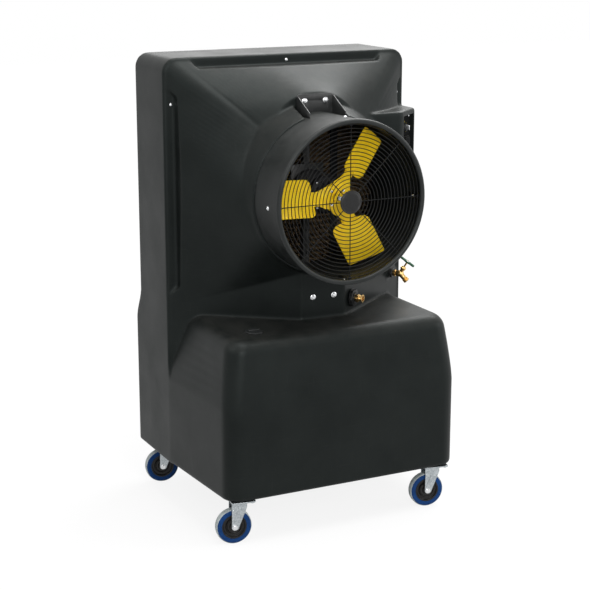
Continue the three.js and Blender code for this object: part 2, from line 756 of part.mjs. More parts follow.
const postHalf = 14;
const postBack = 525;
const postFront = postBack + 2 * postHalf;
const postLow = 930;
const postHigh = 1779;
const armHalf = 65;
const armSheet = 4;
const topArmDepth = collarTopDepth - wall - gap;
const lowArmDepth = collarLowDepth - wall - gap;
function motorPost() {
  const tube = cut(
    box(-postHalf, postHalf, ahead(postBack), ahead(postFront), postLow, postHigh),
    box(-postHalf + 2.5, postHalf - 2.5, ahead(postBack + 2.5), ahead(postFront - 2.5), postLow - 1, postHigh - 6),
  );
  const holes = [];
  for (let z = postLow + 66; z < postHigh - 50; z += 104) {
    if (Math.abs(z - fanHeight) > 110) {
      holes.push(rodY(0, ahead(postBack - 5), ahead(postFront + 5), z, 6, 8));
    }
  }
  const mount = box(-75, 75, ahead(postFront - 0.5), ahead(postFront + 8), fanHeight - 100, fanHeight + 100);
  const topArm = join(
    box(-armHalf, armHalf, ahead(postBack), ahead(topArmDepth), postHigh - armSheet, postHigh),
    box(-armHalf, armHalf, ahead(topArmDepth - armSheet), ahead(topArmDepth), postHigh - 44, postHigh),
  );
  const lowArm = join(
    box(-armHalf, armHalf, ahead(postBack), ahead(lowArmDepth), postLow, postLow + armSheet),
    box(-armHalf, armHalf, ahead(lowArmDepth - armSheet), ahead(lowArmDepth), postLow, postLow + 42),
  );
  const boltHoles = [-1, 1].flatMap((sign) => [
    rodY(sign * topBoltX, ahead(topArmDepth - 20), ahead(topArmDepth + 10), topBoltZ, boltHole, 12),
    rodY(sign * chinBoltX, ahead(lowArmDepth - 20), ahead(lowArmDepth + 10), chinBoltZ, boltHole, 12),
  ]);
  return cut(join(cut(tube, ...holes), mount, topArm, lowArm), ...boltHoles);
}
addMesh('motor_post', motorPost(), blackSteel);

// Hexagon bolt through the housing, with its nut end welded on behind.
function bolt(x, z, face, through) {
  const head = rodY(x, ahead(face + gap), ahead(face + gap + 6), z, 9, 6);
  const shank = rodY(x, ahead(face - through), ahead(face + gap + 3), z, 4, 12);
  return join(head, shank);
}
[[-1, 'left'], [1, 'right']].forEach(([sign, side]) => {
  addMesh(`top_bolt_${side}`, bolt(sign * topBoltX, topBoltZ, bracketBack + plateThickness, 22), zinc);
  addMesh(`neck_bolt_${side}`, bolt(sign * chinBoltX, chinBoltZ, collarLowDepth, 20), zinc);
});

// ---- Cooling pads ----
const dividerHalf = 3;
const frameSide = 4;
const padCellWidth = (2 * (frameHalf - frameSide) - (padCount - 1) * 2 * dividerHalf) / padCount;
const padPitch = padCellWidth + 2 * dividerHalf;
const lipThickness = 10;
const cellRear = frameRear + 1;
const cellFront = frameFront + lipThickness;
const padCentre = (i) => (i - (padCount - 1) / 2) * padPitch;
const framePieces = [];
for (let i = 0; i < padCount; i += 1) {
  const x = padCentre(i);
  const half = padCellWidth / 2;
  const openingHalf = padPitch / 2 - padPost / 2;
  framePieces.push(box(x - half, x + half, cellRear, cellFront, frameBottom + frameSkin, frameTop - frameSkin));
  framePieces.push(box(x - openingHalf, x + openingHalf, cellRear, frameFront - 5,
    frameBottom + frameSkin + 14, frameTop - frameSkin - 14));
  addMesh(`pad_${i + 1}`, box(
    x - half + gap, x + half - gap, frameRear - 6, cellFront + gap,
    frameBottom + frameSkin + gap, frameTop - frameSkin - gap,
  ), paper);
}
addMesh('pad_frame', cut(
  box(-frameHalf, frameHalf, frameRear, frameFront, frameBottom, frameTop)
    .intersect(cabinetOutline(wall + gap, frameBottom, frameRear, frameFront)),
  ...framePieces,
), black);

// ---- Water circuit inside ----
const pipeRadius = 16;
const pipeY = ahead(180);
const pipeZ = frameTop + gap + pipeRadius;
addMesh('header_pipe', rodX(-530, 530, pipeY, pipeZ, pipeRadius, 16), black);

const pumpX = 445;
const pumpY = ahead(335);
const tankFloor = floorClearance + wall;
const hoseRadius = 8;
const hoseSides = 10;
const pumpTop = tankFloor + 130;
addMesh('pump', join(
  rodZ(pumpX, pumpY, tankFloor + gap, tankFloor + 30, 46, 20),
  rodZ(pumpX, pumpY, tankFloor + 20, tankFloor + 105, 38, 20),
  rodZ(pumpX, pumpY, tankFloor + 100, pumpTop, hoseRadius + 3, 12),
), blackSteel);

// A hose or rod bent through its points.
function hose(points, radius) {
  const path = new THREE.CurvePath();
  const bend = radius * 3;
  let last = points[0];
  for (let i = 1; i < points.length - 1; i += 1) {
    const before = points[i].clone().sub(points[i - 1]).normalize();
    const after = points[i + 1].clone().sub(points[i]).normalize();
    const start = points[i].clone().addScaledVector(before, -bend);
    const end = points[i].clone().addScaledVector(after, bend);
    path.add(new THREE.LineCurve3(last, start));
    path.add(new THREE.QuadraticBezierCurve3(start, points[i], end));
    last = end;
  }
  path.add(new THREE.LineCurve3(last, points.at(-1)));
  const rings = path.curves.flatMap((curve, i) => {
    const count = curve.isLineCurve3 ? 1 : 5;
    return Array.from({ length: count }, (unused, s) => curve.getPoint(s / count));
  });
  rings.push(points.at(-1));
  return sweep(rings, radius, hoseSides);
}

// A round bar through the given points, mitred at each one.
function sweep(points, radius, sides) {
  const tangents = points.map((point, i) => {
    const before = points[Math.max(i - 1, 0)];
    const after = points[Math.min(i + 1, points.length - 1)];
    return after.clone().sub(before).normalize();
  });
  let side = at(0.31, 0.2, 0.93).cross(tangents[0]).normalize();
  const rings = points.map((point, i) => {
    side = side.clone().addScaledVector(tangents[i], -side.dot(tangents[i])).normalize();
    const up = tangents[i].clone().cross(side);
    return Array.from({ length: sides }, (unused, s) => {
      const angle = (s / sides) * 2 * Math.PI;
      return point.clone()
        .addScaledVector(side, radius * Math.cos(angle))
        .addScaledVector(up, radius * Math.sin(angle))
        .toArray();
    });
  });
  return loft(rings, points[0].toArray(), points.at(-1).toArray());
}

addMesh('riser_hose', hose([
  at(pumpX, pumpY, pumpTop + gap),
  at(pumpX, pumpY, pipeZ),
  at(pumpX, pipeY - pipeRadius - gap, pipeZ),
], hoseRadius), black);

const bleedY = ahead(440);
const bleedZ = 1252;
const bleedX = 475;
const bleedPlate = box(442, 530, bleedY + 14, bleedY - 14, bleedZ, bleedZ + 4)
  .intersect(funnelHollow().translate([-gap * 1.3, 0, 0]));
addMesh('bleed_bracket', cut(
  bleedPlate,
  rodZ(bleedX, bleedY, bleedZ - 5, bleedZ + 9, 6 + gap, 12),
), blackSteel);
addMesh('bleed_valve', join(
  rodZ(bleedX, bleedY, bleedZ - 22, bleedZ + 14, 6, 12),
  rodZ(bleedX, bleedY, bleedZ - 14, bleedZ - gap, 11, 6),
  rodZ(bleedX, bleedY, bleedZ - 48, bleedZ - 14, 8, 12),
  rodX(bleedX - 28, bleedX, bleedY, bleedZ - 30, 5, 10),
  rodX(bleedX - 30, bleedX - 25, bleedY, bleedZ - 30, 9, 10),
), brass);
addMesh('bleed_hose', hose([
  at(bleedX, bleedY, bleedZ + 14 + gap),
  at(bleedX, bleedY, 1400),
  at(bleedX, ahead(345), 1650),
  at(bleedX, ahead(345), pipeZ),
  at(bleedX, pipeY - pipeRadius - gap, pipeZ),
], 6), black);

// ---- Water inlet ----
// Pieces here are built along +X from the slanted face, then placed on it.
const onInlet = (piece) => placed(piece, chinTurn, inletPlace);
addMesh('inlet_bulkhead', onInlet(join(
  rodX(-34, inletBoss + 14, 0, 0, inletRadius, 20),
  rodX(inletBoss + gap, inletBoss + 12, 0, 0, 23, 6),
)), black);

const valveStart = inletBoss + 14 + gap;
const valveCentre = 60;
const stemTilt = degToRad(31);
const stemWay = at(Math.sin(stemTilt), 0, Math.cos(stemTilt));
const outletWay = at(Math.cos(-0.75), 0, Math.sin(-0.75));
const along = (way, distance) => at(valveCentre, 0, 0).addScaledVector(way, distance);
const leverSeat = 62;
const ball = new THREE.SphereGeometry(15, 10, 6);
ball.translate(valveCentre, 0, 0);
addMesh('inlet_valve', onInlet(join(
  rodX(valveStart, valveCentre, 0, 0, 11, 12),
  rodX(valveStart, valveStart + 12, 0, 0, 15, 6),
  solid(ball),
  rod(at(valveCentre, 0, 0), along(stemWay, 38), 9, 10),
  rod(along(stemWay, 24), along(stemWay, 34), 13, 6),
  rod(along(stemWay, 30), along(stemWay, leverSeat + 9), 4, 10),
  rod(at(valveCentre, 0, 0), along(outletWay, 44), 11, 12),
  rod(along(outletWay, 30), along(outletWay, 46), 14, 12),
)), brass);

const leverHalf = 37;
const leverBar = cut(
  slabZ(rounded([
    [-leverHalf, -6, 5],
    [-8, -9, 0],
    [8, -9, 0],
    [leverHalf, -6, 5],
    [leverHalf, 6, 5],
    [8, 9, 0],
    [-8, 9, 0],
    [-leverHalf, 6, 5],
  ], 2), 0, 8),
  rodZ(0, 0, -5, 15, 4 + gap, 10),
);
const leverPlace = along(stemWay, leverSeat);
addMesh('inlet_lever', onInlet(
  leverBar.rotate([0, THREE.MathUtils.radToDeg(stemTilt), 0]).translate(leverPlace.toArray()),
), { color: 0x2f6b45, roughness: 0.5, metalness: 0 });

addMesh('float_valve', onInlet(join(
  rodX(-66, -34 - gap, 0, 0, 11, 16),
  box(-80, -60, -7, -3, -10, 8),
  box(-80, -60, 3, 7, -10, 8),
  rodX(-66, -58, 0, 0, 9, 16),
)), brass);
const floatHinge = at(-73, 0, -2);
const ballReach = at(-207, 0, -210);
const ballPlace = floatHinge.clone().add(ballReach);
const floatRadius = 50;
const floatBall = new THREE.SphereGeometry(floatRadius, 16, 8);
floatBall.translate(ballPlace.x, ballPlace.y, ballPlace.z);
const armEnd = floatHinge.clone().addScaledVector(ballReach, 0.9);
addMesh('float_arm', onInlet(join(
  rod(floatHinge, armEnd, 2.6, 8),
  solid(floatBall),
)), brass);

// ---- Drain ----
const onDrain = (piece) => placed(piece, chinTurn, drainPlace);
addMesh('drain_bulkhead', onDrain(join(
  rodX(-30, 18, 0, 0, drainRadius, 24),
  rodX(gap, 14, 0, 0, 39, 6),
  rodX(14, 18, 0, 0, 25, 24),
)), black);
addMesh('drain_fitting', onDrain(join(
  rodX(18 + gap, 34, 0, 0, 15, 16),
  rodX(22, 30, 0, 0, 19, 6),
  rodX(34, 50, 0, 0, 12, 16),
  rodX(44, 50, 0, 0, 17, 16),
)), brass);

// ---- Filler cap ----
const cap = join(
  turned([[0, gap], [capRadius, gap], [capRadius, 4], [capRadius - 4, 7], [0, 7]], 32),
  rodZ(0, 0, -24, 2, capNeck, 32),
  box(-24, 24, -4, 4, 6, 12),
);
addMesh('filler_cap', cap
  .rotate([THREE.MathUtils.radToDeg(deckSlope), 0, 0])
  .translate([capPlace.x, capPlace.y, capPlace.z]), black);

// ---- Control panel ----
// Pieces here are built with +X off the panel, +Y along it and +Z up, from the middle of the face.
const onPanel = (piece) => placed(piece, panelTurn, panelMiddle);
const plateFront = -panelRecess + gap + 3;
const knobPlace = [-4, 35];
const switchPlace = [-4, -63];
const knobRadius = 17;
const shaftHole = 4 + gap;
addMesh('control_panel', onPanel(cut(
  box(-panelRecess + gap, plateFront, -panelWidth / 2 + gap, panelWidth / 2 - gap,
    -panelHeight / 2 + gap, panelHeight / 2 - gap),
  rodX(-60, 20, knobPlace[0], knobPlace[1], shaftHole, 12),
  box(-60, 20, switchPlace[0] - 10.3, switchPlace[0] + 10.3, switchPlace[1] - 7.3, switchPlace[1] + 7.3),
)), blackSteel);
addMesh('speed_knob', onPanel(join(
  rodX(plateFront + gap, plateFront + 18, knobPlace[0], knobPlace[1], knobRadius, 24),
  rodX(plateFront - 14, plateFront + 4, knobPlace[0], knobPlace[1], 4, 12),
  box(plateFront + 10, plateFront + 24, knobPlace[0] - 3, knobPlace[0] + 3,
    knobPlace[1] - knobRadius + 1, knobPlace[1] + knobRadius - 1),
)), zinc);
addMesh('socket_cover', onPanel(join(
  box(plateFront + gap, plateFront + 12, -36, 30, -48, -2),
  box(plateFront + 11, plateFront + 19, -28, 22, -42, -8),
)), black);
const rocker = slabY([
  [plateFront - 9, switchPlace[1] - 6],
  [plateFront + 5, switchPlace[1] - 6],
  [plateFront + 2, switchPlace[1]],
  [plateFront + 2, switchPlace[1] + 6],
  [plateFront - 9, switchPlace[1] + 6],
], switchPlace[0] - 10, switchPlace[0] + 10);
addMesh('pump_switch', onPanel(rocker), black);

// ---- Casters ----
const tyreInner = 52.3;
const coreOuter = 51.7;
const axleHeight = wheelRadius * Math.cos(Math.PI / wheelSides);
const mountTop = floorClearance - gap;
const plateLow = mountTop - 5;
const raceLow = 179;
const crownTop = raceLow - gap;
const crownLow = crownTop - 4;
const pinHeadTop = crownLow - gap;
const legInner = 24;
const legOuter = 28;
const axleRadius = 6;
const kingPinRadius = 8;
const bearingSides = 16;
const pinSides = 10;
// Radius of a faceted hole that a pin with as many facets turns in without touching.
const runningHole = (radius) => (radius + gap) / Math.cos(Math.PI / pinSides);

function casterPlate() {
  return join(
    slabZ(rounded([[-51, -57, 10], [51, -57, 10], [51, 57, 10], [-51, 57, 10]], 2), plateLow, mountTop),
    rodZ(0, 0, raceLow, plateLow + 1, 34, bearingSides),
    rodZ(0, 0, pinHeadTop - 3, raceLow + 1, kingPinRadius, pinSides),
    rodZ(0, 0, pinHeadTop - 3, pinHeadTop, 13, 10),
  );
}

function casterFork() {
  const legFor = (sign) => slabY(rounded([
    [-casterTrail - 13, axleHeight - 13, 13],
    [-casterTrail + 13, axleHeight - 13, 13],
    [20, 150, 20],
    [20, crownTop, 0],
    [-44, crownTop, 0],
    [-44, 140, 0],
  ], 3), sign * legInner, sign * legOuter);
  return cut(
    join(
      legFor(1),
      legFor(-1),
      box(-44, 20, -legOuter, legOuter, crownLow, crownTop),
      rodZ(0, 0, crownLow, crownTop, 36, bearingSides),
    ),
    rodZ(0, 0, crownLow - 5, crownTop + 5, runningHole(kingPinRadius), pinSides),
    rodY(-casterTrail, -40, 40, axleHeight, runningHole(axleRadius), pinSides),
  );
}

function casterAxle() {
  return join(
    rodY(0, -legOuter - 1, legOuter + 1, 0, axleRadius, pinSides),
    rodY(0, -legOuter - 5, -legOuter - gap, 0, 10, 6),
    rodY(0, legOuter + gap, legOuter + 5, 0, 10, 6),
  );
}

function turnedOnAxle(points, sides, start = 0) {
  const profile = points.map(([radius, y]) => new THREE.Vector2(radius, y));
  const geometry = new THREE.LatheGeometry([...profile, profile[0]], sides, start);
  const piece = solid(geometry);
  return piece.volume() < 0 ? solid(flipped(geometry)) : piece;
}

const hubHalf = legInner - 0.5;
const coreProfile = [
  [axleRadius + gap, -hubHalf],
  [19, -hubHalf],
  [coreOuter, -wheelWidth / 2 + 1],
  [coreOuter, wheelWidth / 2 - 1],
  [19, hubHalf],
  [axleRadius + gap, hubHalf],
];
const tyreProfile = [
  [tyreInner, -wheelWidth / 2 + 1],
  [wheelRadius - 8, -wheelWidth / 2],
  [wheelRadius, -wheelWidth / 2 + 8],
  [wheelRadius, wheelWidth / 2 - 8],
  [wheelRadius - 8, wheelWidth / 2],
  [tyreInner, wheelWidth / 2 - 1],
];

[['fl', -1, casterFront], ['fr', 1, casterFront], ['rl', -1, casterRear], ['rr', 1, casterRear]]
  .forEach(([corner, sign, distance]) => {
    const caster = new THREE.Group();
    caster.name = `caster_${corner}`;
    caster.position.set(sign * casterSpreadX, ahead(distance), 0);
    caster.rotation.z = casterTurn;
    cooler.add(caster);
    addMesh(`caster_${corner}_plate`, casterPlate(), zinc, caster);
    addMesh(`caster_${corner}_fork`, casterFork(), zinc, caster);
    const wheel = new THREE.Group();
    wheel.name = `caster_${corner}_wheel`;
    wheel.position.set(-casterTrail, 0, axleHeight);
    caster.add(wheel);
    addMesh(`caster_${corner}_axle`, casterAxle(), zinc, wheel);
    addMesh(`caster_${corner}_core`, turnedOnAxle(coreProfile, 16), black, wheel);
    addMesh(`caster_${corner}_tyre`, turnedOnAxle(tyreProfile, wheelSides, Math.PI / wheelSides), blue, wheel);
  });

export default cooler;
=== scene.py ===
import bpy
import json
import math
from mathutils import Matrix, Vector


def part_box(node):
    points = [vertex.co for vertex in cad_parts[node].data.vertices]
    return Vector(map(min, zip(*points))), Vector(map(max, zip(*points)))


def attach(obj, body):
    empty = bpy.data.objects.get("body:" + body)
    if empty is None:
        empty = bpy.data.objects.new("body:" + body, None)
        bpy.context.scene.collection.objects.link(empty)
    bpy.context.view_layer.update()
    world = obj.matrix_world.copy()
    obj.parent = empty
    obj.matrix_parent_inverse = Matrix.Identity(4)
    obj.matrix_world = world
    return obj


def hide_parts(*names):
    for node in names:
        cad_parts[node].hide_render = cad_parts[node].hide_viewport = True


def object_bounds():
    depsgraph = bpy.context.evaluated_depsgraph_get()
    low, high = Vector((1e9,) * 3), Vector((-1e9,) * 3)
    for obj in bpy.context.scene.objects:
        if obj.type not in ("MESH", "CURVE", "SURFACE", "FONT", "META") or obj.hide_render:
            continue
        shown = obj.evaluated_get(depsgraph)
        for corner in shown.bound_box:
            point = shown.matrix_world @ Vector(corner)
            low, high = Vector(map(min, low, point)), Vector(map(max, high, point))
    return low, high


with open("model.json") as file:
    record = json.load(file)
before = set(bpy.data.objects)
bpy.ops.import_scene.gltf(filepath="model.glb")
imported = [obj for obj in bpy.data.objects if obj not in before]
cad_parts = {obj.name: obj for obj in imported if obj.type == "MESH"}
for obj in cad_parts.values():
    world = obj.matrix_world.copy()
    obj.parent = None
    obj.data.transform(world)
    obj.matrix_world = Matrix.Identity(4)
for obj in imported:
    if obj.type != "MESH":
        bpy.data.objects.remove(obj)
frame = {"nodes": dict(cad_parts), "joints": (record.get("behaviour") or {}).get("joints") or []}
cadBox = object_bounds()
cadNodes = frame["nodes"]
joints = {joint["name"]: joint for joint in frame["joints"]}
mm = 0.001  # sizes below are in millimetres, the helpers turn them into metres
print("stage: frame loaded")


# small helpers

def ahead(distance):  # row Y of a plane this far in front of the tank back
    return cadBox[1][1] / mm - distance


def boxOf(node):  # a frame node's lowest and highest corner in millimetres
    low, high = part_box(node)
    return [value / mm for value in low], [value / mm for value in high]


def mix(start, end, share):
    return start + (end - start) * share


def easeStep(value, low, high):
    share = min(1.0, max(0.0, (value - low) / (high - low)))
    return share * share * (3 - 2 * share)


def turnAbout(axis, degrees):
    return Matrix.Rotation(math.radians(degrees), 4, axis)


def shiftBy(x, y, z):
    return Matrix.Translation((x * mm, y * mm, z * mm))


def deselectAll():
    for item in list(bpy.context.selected_objects):
        item.select_set(False)
    bpy.context.view_layer.objects.active = None


def pick(piece):
    deselectAll()
    piece.select_set(True)
    bpy.context.view_layer.objects.active = piece


def applyPlace(piece):
    pick(piece)
    bpy.ops.object.transform_apply(location=True, rotation=True, scale=True)


def applyAll(piece):
    pick(piece)
    for modifier in list(piece.modifiers):
        bpy.ops.object.modifier_apply(modifier=modifier.name)


def moved(piece, matrix):
    piece.data.transform(matrix)
    piece.data.update()
    return piece


def twinOf(piece, name, matrix=None):
    twin = bpy.data.objects.new(name, piece.data.copy())
    bpy.context.scene.collection.objects.link(twin)
    return moved(twin, matrix) if matrix else twin


def closeUp(piece, distance=0.002):  # merges doubles and turns faces outwards
    pick(piece)
    bpy.ops.object.mode_set(mode="EDIT")
    bpy.ops.mesh.select_all(action="SELECT")
    bpy.ops.mesh.remove_doubles(threshold=distance * mm)
    bpy.ops.mesh.normals_make_consistent(inside=False)
    bpy.ops.object.mode_set(mode="OBJECT")
    return piece


def fromPoints(name, points, edges, faces):
    mesh = bpy.data.meshes.new(name)
    mesh.from_pydata([[value * mm for value in point] for point in points], edges, faces)
    mesh.update()
    piece = bpy.data.objects.new(name, mesh)
    bpy.context.scene.collection.objects.link(piece)
    return piece


def addBlock(name, low, high):
    deselectAll()
    bpy.ops.mesh.primitive_cube_add(size=1, location=[(a + b) / 2 * mm for a, b in zip(low, high)])
    piece = bpy.context.object
    piece.name = name
    piece.scale = [abs(b - a) * mm for a, b in zip(low, high)]
    applyPlace(piece)
    return piece


def addRod(name, start, end, radius, sides=32):
    way = Vector(end) - Vector(start)
    deselectAll()
    bpy.ops.mesh.primitive_cone_add(
        vertices=sides, radius1=radius * mm, radius2=radius * mm,
        depth=way.length * mm, location=(Vector(start) + Vector(end)) * 0.5 * mm,
        rotation=way.to_track_quat("Z", "Y").to_euler())
    piece = bpy.context.object
    piece.name = name
    applyPlace(piece)
    return piece


def addBall(name, centre, radius, segments=32, rings=20):
    deselectAll()
    bpy.ops.mesh.primitive_uv_sphere_add(
        segments=segments, ring_count=rings, radius=radius * mm, location=Vector(centre) * mm)
    piece = bpy.context.object
    piece.name = name
    applyPlace(piece)
    return piece


def addRing(name, centre, radius, wire, segments=96, around=8):  # a wire ring round the Y axis
    deselectAll()
    bpy.ops.mesh.primitive_torus_add(
        major_radius=radius * mm, minor_radius=wire * mm, major_segments=segments,
        minor_segments=around, location=Vector(centre) * mm, rotation=(math.pi / 2, 0, 0))
    piece = bpy.context.object
    piece.name = name
    applyPlace(piece)
    return piece


def prism(name, outline, way):  # a flat outline of points, extruded along a vector
    piece = fromPoints(name, outline, [], [list(range(len(outline)))])
    pick(piece)
    bpy.ops.object.mode_set(mode="EDIT")
    bpy.ops.mesh.select_all(action="SELECT")
    bpy.ops.mesh.extrude_region_move(TRANSFORM_OT_translate={"value": Vector(way) * mm})
    bpy.ops.object.mode_set(mode="OBJECT")
    return closeUp(piece)


def slabX(name, outline, left, right):
    return prism(name, [(left, y, z) for y, z in outline], (right - left, 0, 0))


def slabY(name, outline, back, front):
    return prism(name, [(x, back, z) for x, z in outline], (0, front - back, 0))


def slabZ(name, outline, low, high):
    return prism(name, [(x, y, low) for x, y in outline], (0, 0, high - low))


def loftRings(name, rings, firstCentre, lastCentre):  # closed form through rings of equal counts
    count = len(rings[0])
    points = [point for ring in rings for point in ring] + [firstCentre, lastCentre]
    faces = []
    for r in range(len(rings) - 1):
        for i in range(count):
            a, b = r * count + i, r * count + (i + 1) % count
            faces += [(a, b, b + count), (a, b + count, a + count)]
    first, last, top = len(points) - 2, len(points) - 1, (len(rings) - 1) * count
    for i in range(count):
        after = (i + 1) % count
        faces += [(first, after, i), (last, top + i, top + after)]
    return closeUp(fromPoints(name, points, [], faces))


def spun(name, profile, centre=(0, 0, 0), axis=(0, 0, 1), steps=64, closed=False):
    way = Vector(axis).normalized()  # profile points are (radius, distance along the axis)
    side = Vector((1, 0, 0)) if abs(way.x) < 0.9 else Vector((0, 1, 0))
    side = (side - way * side.dot(way)).normalized()
    points = [Vector(centre) + side * radius + way * along for radius, along in profile]
    edges = [(i, i + 1) for i in range(len(points) - 1)]
    if closed:
        edges.append((len(points) - 1, 0))
    piece = fromPoints(name, points, edges, [])
    pick(piece)
    bpy.ops.object.mode_set(mode="EDIT")
    bpy.ops.mesh.select_all(action="SELECT")
    bpy.ops.mesh.spin(steps=steps, angle=2 * math.pi, center=Vector(centre) * mm, axis=way)
    bpy.ops.object.mode_set(mode="OBJECT")
    return closeUp(piece)


def roundedOutline(corners, steps=6):  # corners are (u, v, radius)
    points = []
    for i, (u, v, radius) in enumerate(corners):
        corner = Vector((u, v))
        if not radius:
            points.append((u, v))
            continue
        back = (Vector(corners[i - 1][:2]) - corner).normalized()
        onward = (Vector(corners[(i + 1) % len(corners)][:2]) - corner).normalized()
        half = back.angle(onward) / 2
        centre = corner + (back + onward).normalized() * (radius / math.sin(half))
        first = corner + back * (radius / math.tan(half)) - centre
        last = corner + onward * (radius / math.tan(half)) - centre
        sweep = math.atan2(last.y, last.x) - math.atan2(first.y, first.x)
        sweep = (sweep + math.pi) % (2 * math.pi) - math.pi
        for s in range(steps + 1):
            points.append(tuple(Matrix.Rotation(sweep * s / steps, 2) @ first + centre))
    return points


def tubeAlong(name, points, radius, sides=12):  # a round bar through points
    ways = []
    for i, point in enumerate(points):
        before, after = points[max(i - 1, 0)], points[min(i + 1, len(points) - 1)]
        ways.append((Vector(after) - Vector(before)).normalized())
    side = Vector((0.31, 0.2, 0.93)).cross(ways[0]).normalized()
    rings = []
    for point, way in zip(points, ways):
        side = (side - way * side.dot(way)).normalized()
        up = way.cross(side)
        rings.append([
            Vector(point) + side * (radius * math.cos(2 * math.pi * s / sides))
            + up * (radius * math.sin(2 * math.pi * s / sides)) for s in range(sides)])
    return loftRings(name, rings, points[0], points[-1])


def bevelled(piece, width, segments=2, angle=35):
    modifier = piece.modifiers.new("edge", "BEVEL")
    modifier.width = width * mm
    modifier.segments = segments
    modifier.limit_method = "ANGLE"
    modifier.angle_limit = math.radians(angle)
    applyAll(piece)
    return piece


def softened(piece, angle=35):
    pick(piece)
    bpy.ops.object.shade_smooth_by_angle(angle=math.radians(angle))
    return piece


def joined(name, *pieces):
    deselectAll()
    for piece in pieces:
        piece.select_set(True)
    bpy.context.view_layer.objects.active = pieces[0]
    if len(pieces) > 1:
        bpy.ops.object.join()
    whole = bpy.context.view_layer.objects.active
    whole.name = name
    return whole


def combined(piece, other, how="DIFFERENCE"):
    modifier = piece.modifiers.new("combine", "BOOLEAN")
    modifier.operation = how
    modifier.solver = "MANIFOLD"
    modifier.object = other
    applyAll(piece)
    bpy.data.objects.remove(other)
    return piece


def carved(piece, *tools):
    for tool in tools:
        combined(piece, tool)
    return piece


def fused(piece, *others):
    for other in others:
        combined(piece, other, "UNION")
    return piece


def copyOfNode(node, name):  # a frame node's own mesh, merged and with its flat faces cleaned
    piece = twinOf(cadNodes[node], name)
    closeUp(piece)
    pick(piece)
    bpy.ops.object.mode_set(mode="EDIT")
    bpy.ops.mesh.select_all(action="SELECT")
    bpy.ops.mesh.dissolve_limited(angle_limit=math.radians(0.5))
    bpy.ops.object.mode_set(mode="OBJECT")
    return piece


def finished(piece, name, body, slot, *replaced, material=None, angle=35):
    piece.name = name
    softened(piece, angle)
    if material:
        piece.data.materials.clear()
        piece.data.materials.append(material)
    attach(piece, body)
    if replaced:
        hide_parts(*replaced)
    return piece


# node groups shared by the finishes

def newGroup(name, inputs, outputs):
    group = bpy.data.node_groups.new(name, "ShaderNodeTree")
    for title, kind, value in inputs:
        socket = group.interface.new_socket(title, in_out="INPUT", socket_type="NodeSocket" + kind)
        if value is not None:
            socket.default_value = value
    for title, kind in outputs:
        group.interface.new_socket(title, in_out="OUTPUT", socket_type="NodeSocket" + kind)
    return group, group.nodes.new("NodeGroupInput"), group.nodes.new("NodeGroupOutput")


def feed(tree, socket, value):  # links another node's output, or sets a plain value
    if isinstance(value, bpy.types.NodeSocket):
        tree.links.new(value, socket)
    else:
        socket.default_value = value


def addNode(tree, kind, settings=(), **values):
    node = tree.nodes.new("ShaderNode" + kind)
    for key, value in dict(settings).items():
        setattr(node, key, value)
    for title, value in values.items():
        feed(tree, node.inputs[title.replace("_", " ")], value)
    return node


def mapped(tree, source, fromLow, fromHigh, toLow=0.0, toHigh=1.0):
    node = addNode(tree, "MapRange", Value=source, From_Min=fromLow, From_Max=fromHigh, To_Min=toLow,
                   To_Max=toHigh)
    return node.outputs["Result"]


def multiplied(tree, first, second):
    node = addNode(tree, "Math", {"operation": "MULTIPLY"})
    for socket, value in zip(node.inputs, (first, second)):
        feed(tree, socket, value)
    return node.outputs["Value"]


def blended(tree, factor, first, second):
    node = addNode(tree, "Mix", {"data_type": "RGBA"})
    for socket, value in ((node.inputs[0], factor), (node.inputs[6], first), (node.inputs[7], second)):
        feed(tree, socket, value)
    return node.outputs[2]


def makeGrain():  # fine surface grain and a slow change of tone
    group, start, end = newGroup(
        "surfaceGrain", [("Vector", "Vector", None), ("Fine", "Float", 700.0), ("Broad", "Float", 9.0)],
        [("Height", "Float"), ("Tone", "Float")])
    fine = addNode(group, "TexNoise", Vector=start.outputs["Vector"], Scale=start.outputs["Fine"], Detail=2.0)
    broad = addNode(
        group, "TexNoise", Vector=start.outputs["Vector"], Scale=start.outputs["Broad"], Detail=5.0,
        Roughness=0.6)
    group.links.new(fine.outputs["Fac"], end.inputs["Height"])
    group.links.new(mapped(group, broad.outputs["Fac"], 0.32, 0.68), end.inputs["Tone"])
    return group


def makeDust():  # dust on upward faces, in soft patches
    group, start, end = newGroup(
        "settledDust", [("Vector", "Vector", None), ("Normal", "Vector", None), ("Amount", "Float", 0.3)],
        [("Mask", "Float")])
    split = addNode(group, "SeparateXYZ", Vector=start.outputs["Normal"])
    patch = addNode(group, "TexNoise", Vector=start.outputs["Vector"], Scale=14.0, Detail=8.0, Roughness=0.7)
    upward = mapped(group, split.outputs["Z"], 0.25, 1.0)
    patches = mapped(group, patch.outputs["Fac"], 0.35, 0.7, 0.15, 1.0)
    group.links.new(
        multiplied(group, multiplied(group, upward, patches), start.outputs["Amount"]), end.inputs["Mask"])
    return group


def makeScuffs():  # short thin rub marks in two directions
    group, start, end = newGroup(
        "rubMarks", [("Vector", "Vector", None), ("Scale", "Float", 1.0)], [("Mask", "Float")])
    masks = []
    for turn, stretch in ((0.5, (9, 9, 240)), (1.9, (260, 11, 12))):
        place = addNode(group, "Mapping", Vector=start.outputs["Vector"], Rotation=(turn, turn * 0.4, 0.3),
                        Scale=stretch)
        lines = addNode(
            group, "TexNoise", Vector=place.outputs["Vector"], Scale=start.outputs["Scale"], Detail=2.0,
            Roughness=0.4)
        masks.append(mapped(group, lines.outputs["Fac"], 0.66, 0.74))
    total = addNode(group, "Math", {"operation": "MAXIMUM"})
    group.links.new(masks[0], total.inputs[0])
    group.links.new(masks[1], total.inputs[1])
    group.links.new(total.outputs["Value"], end.inputs["Mask"])
    return group


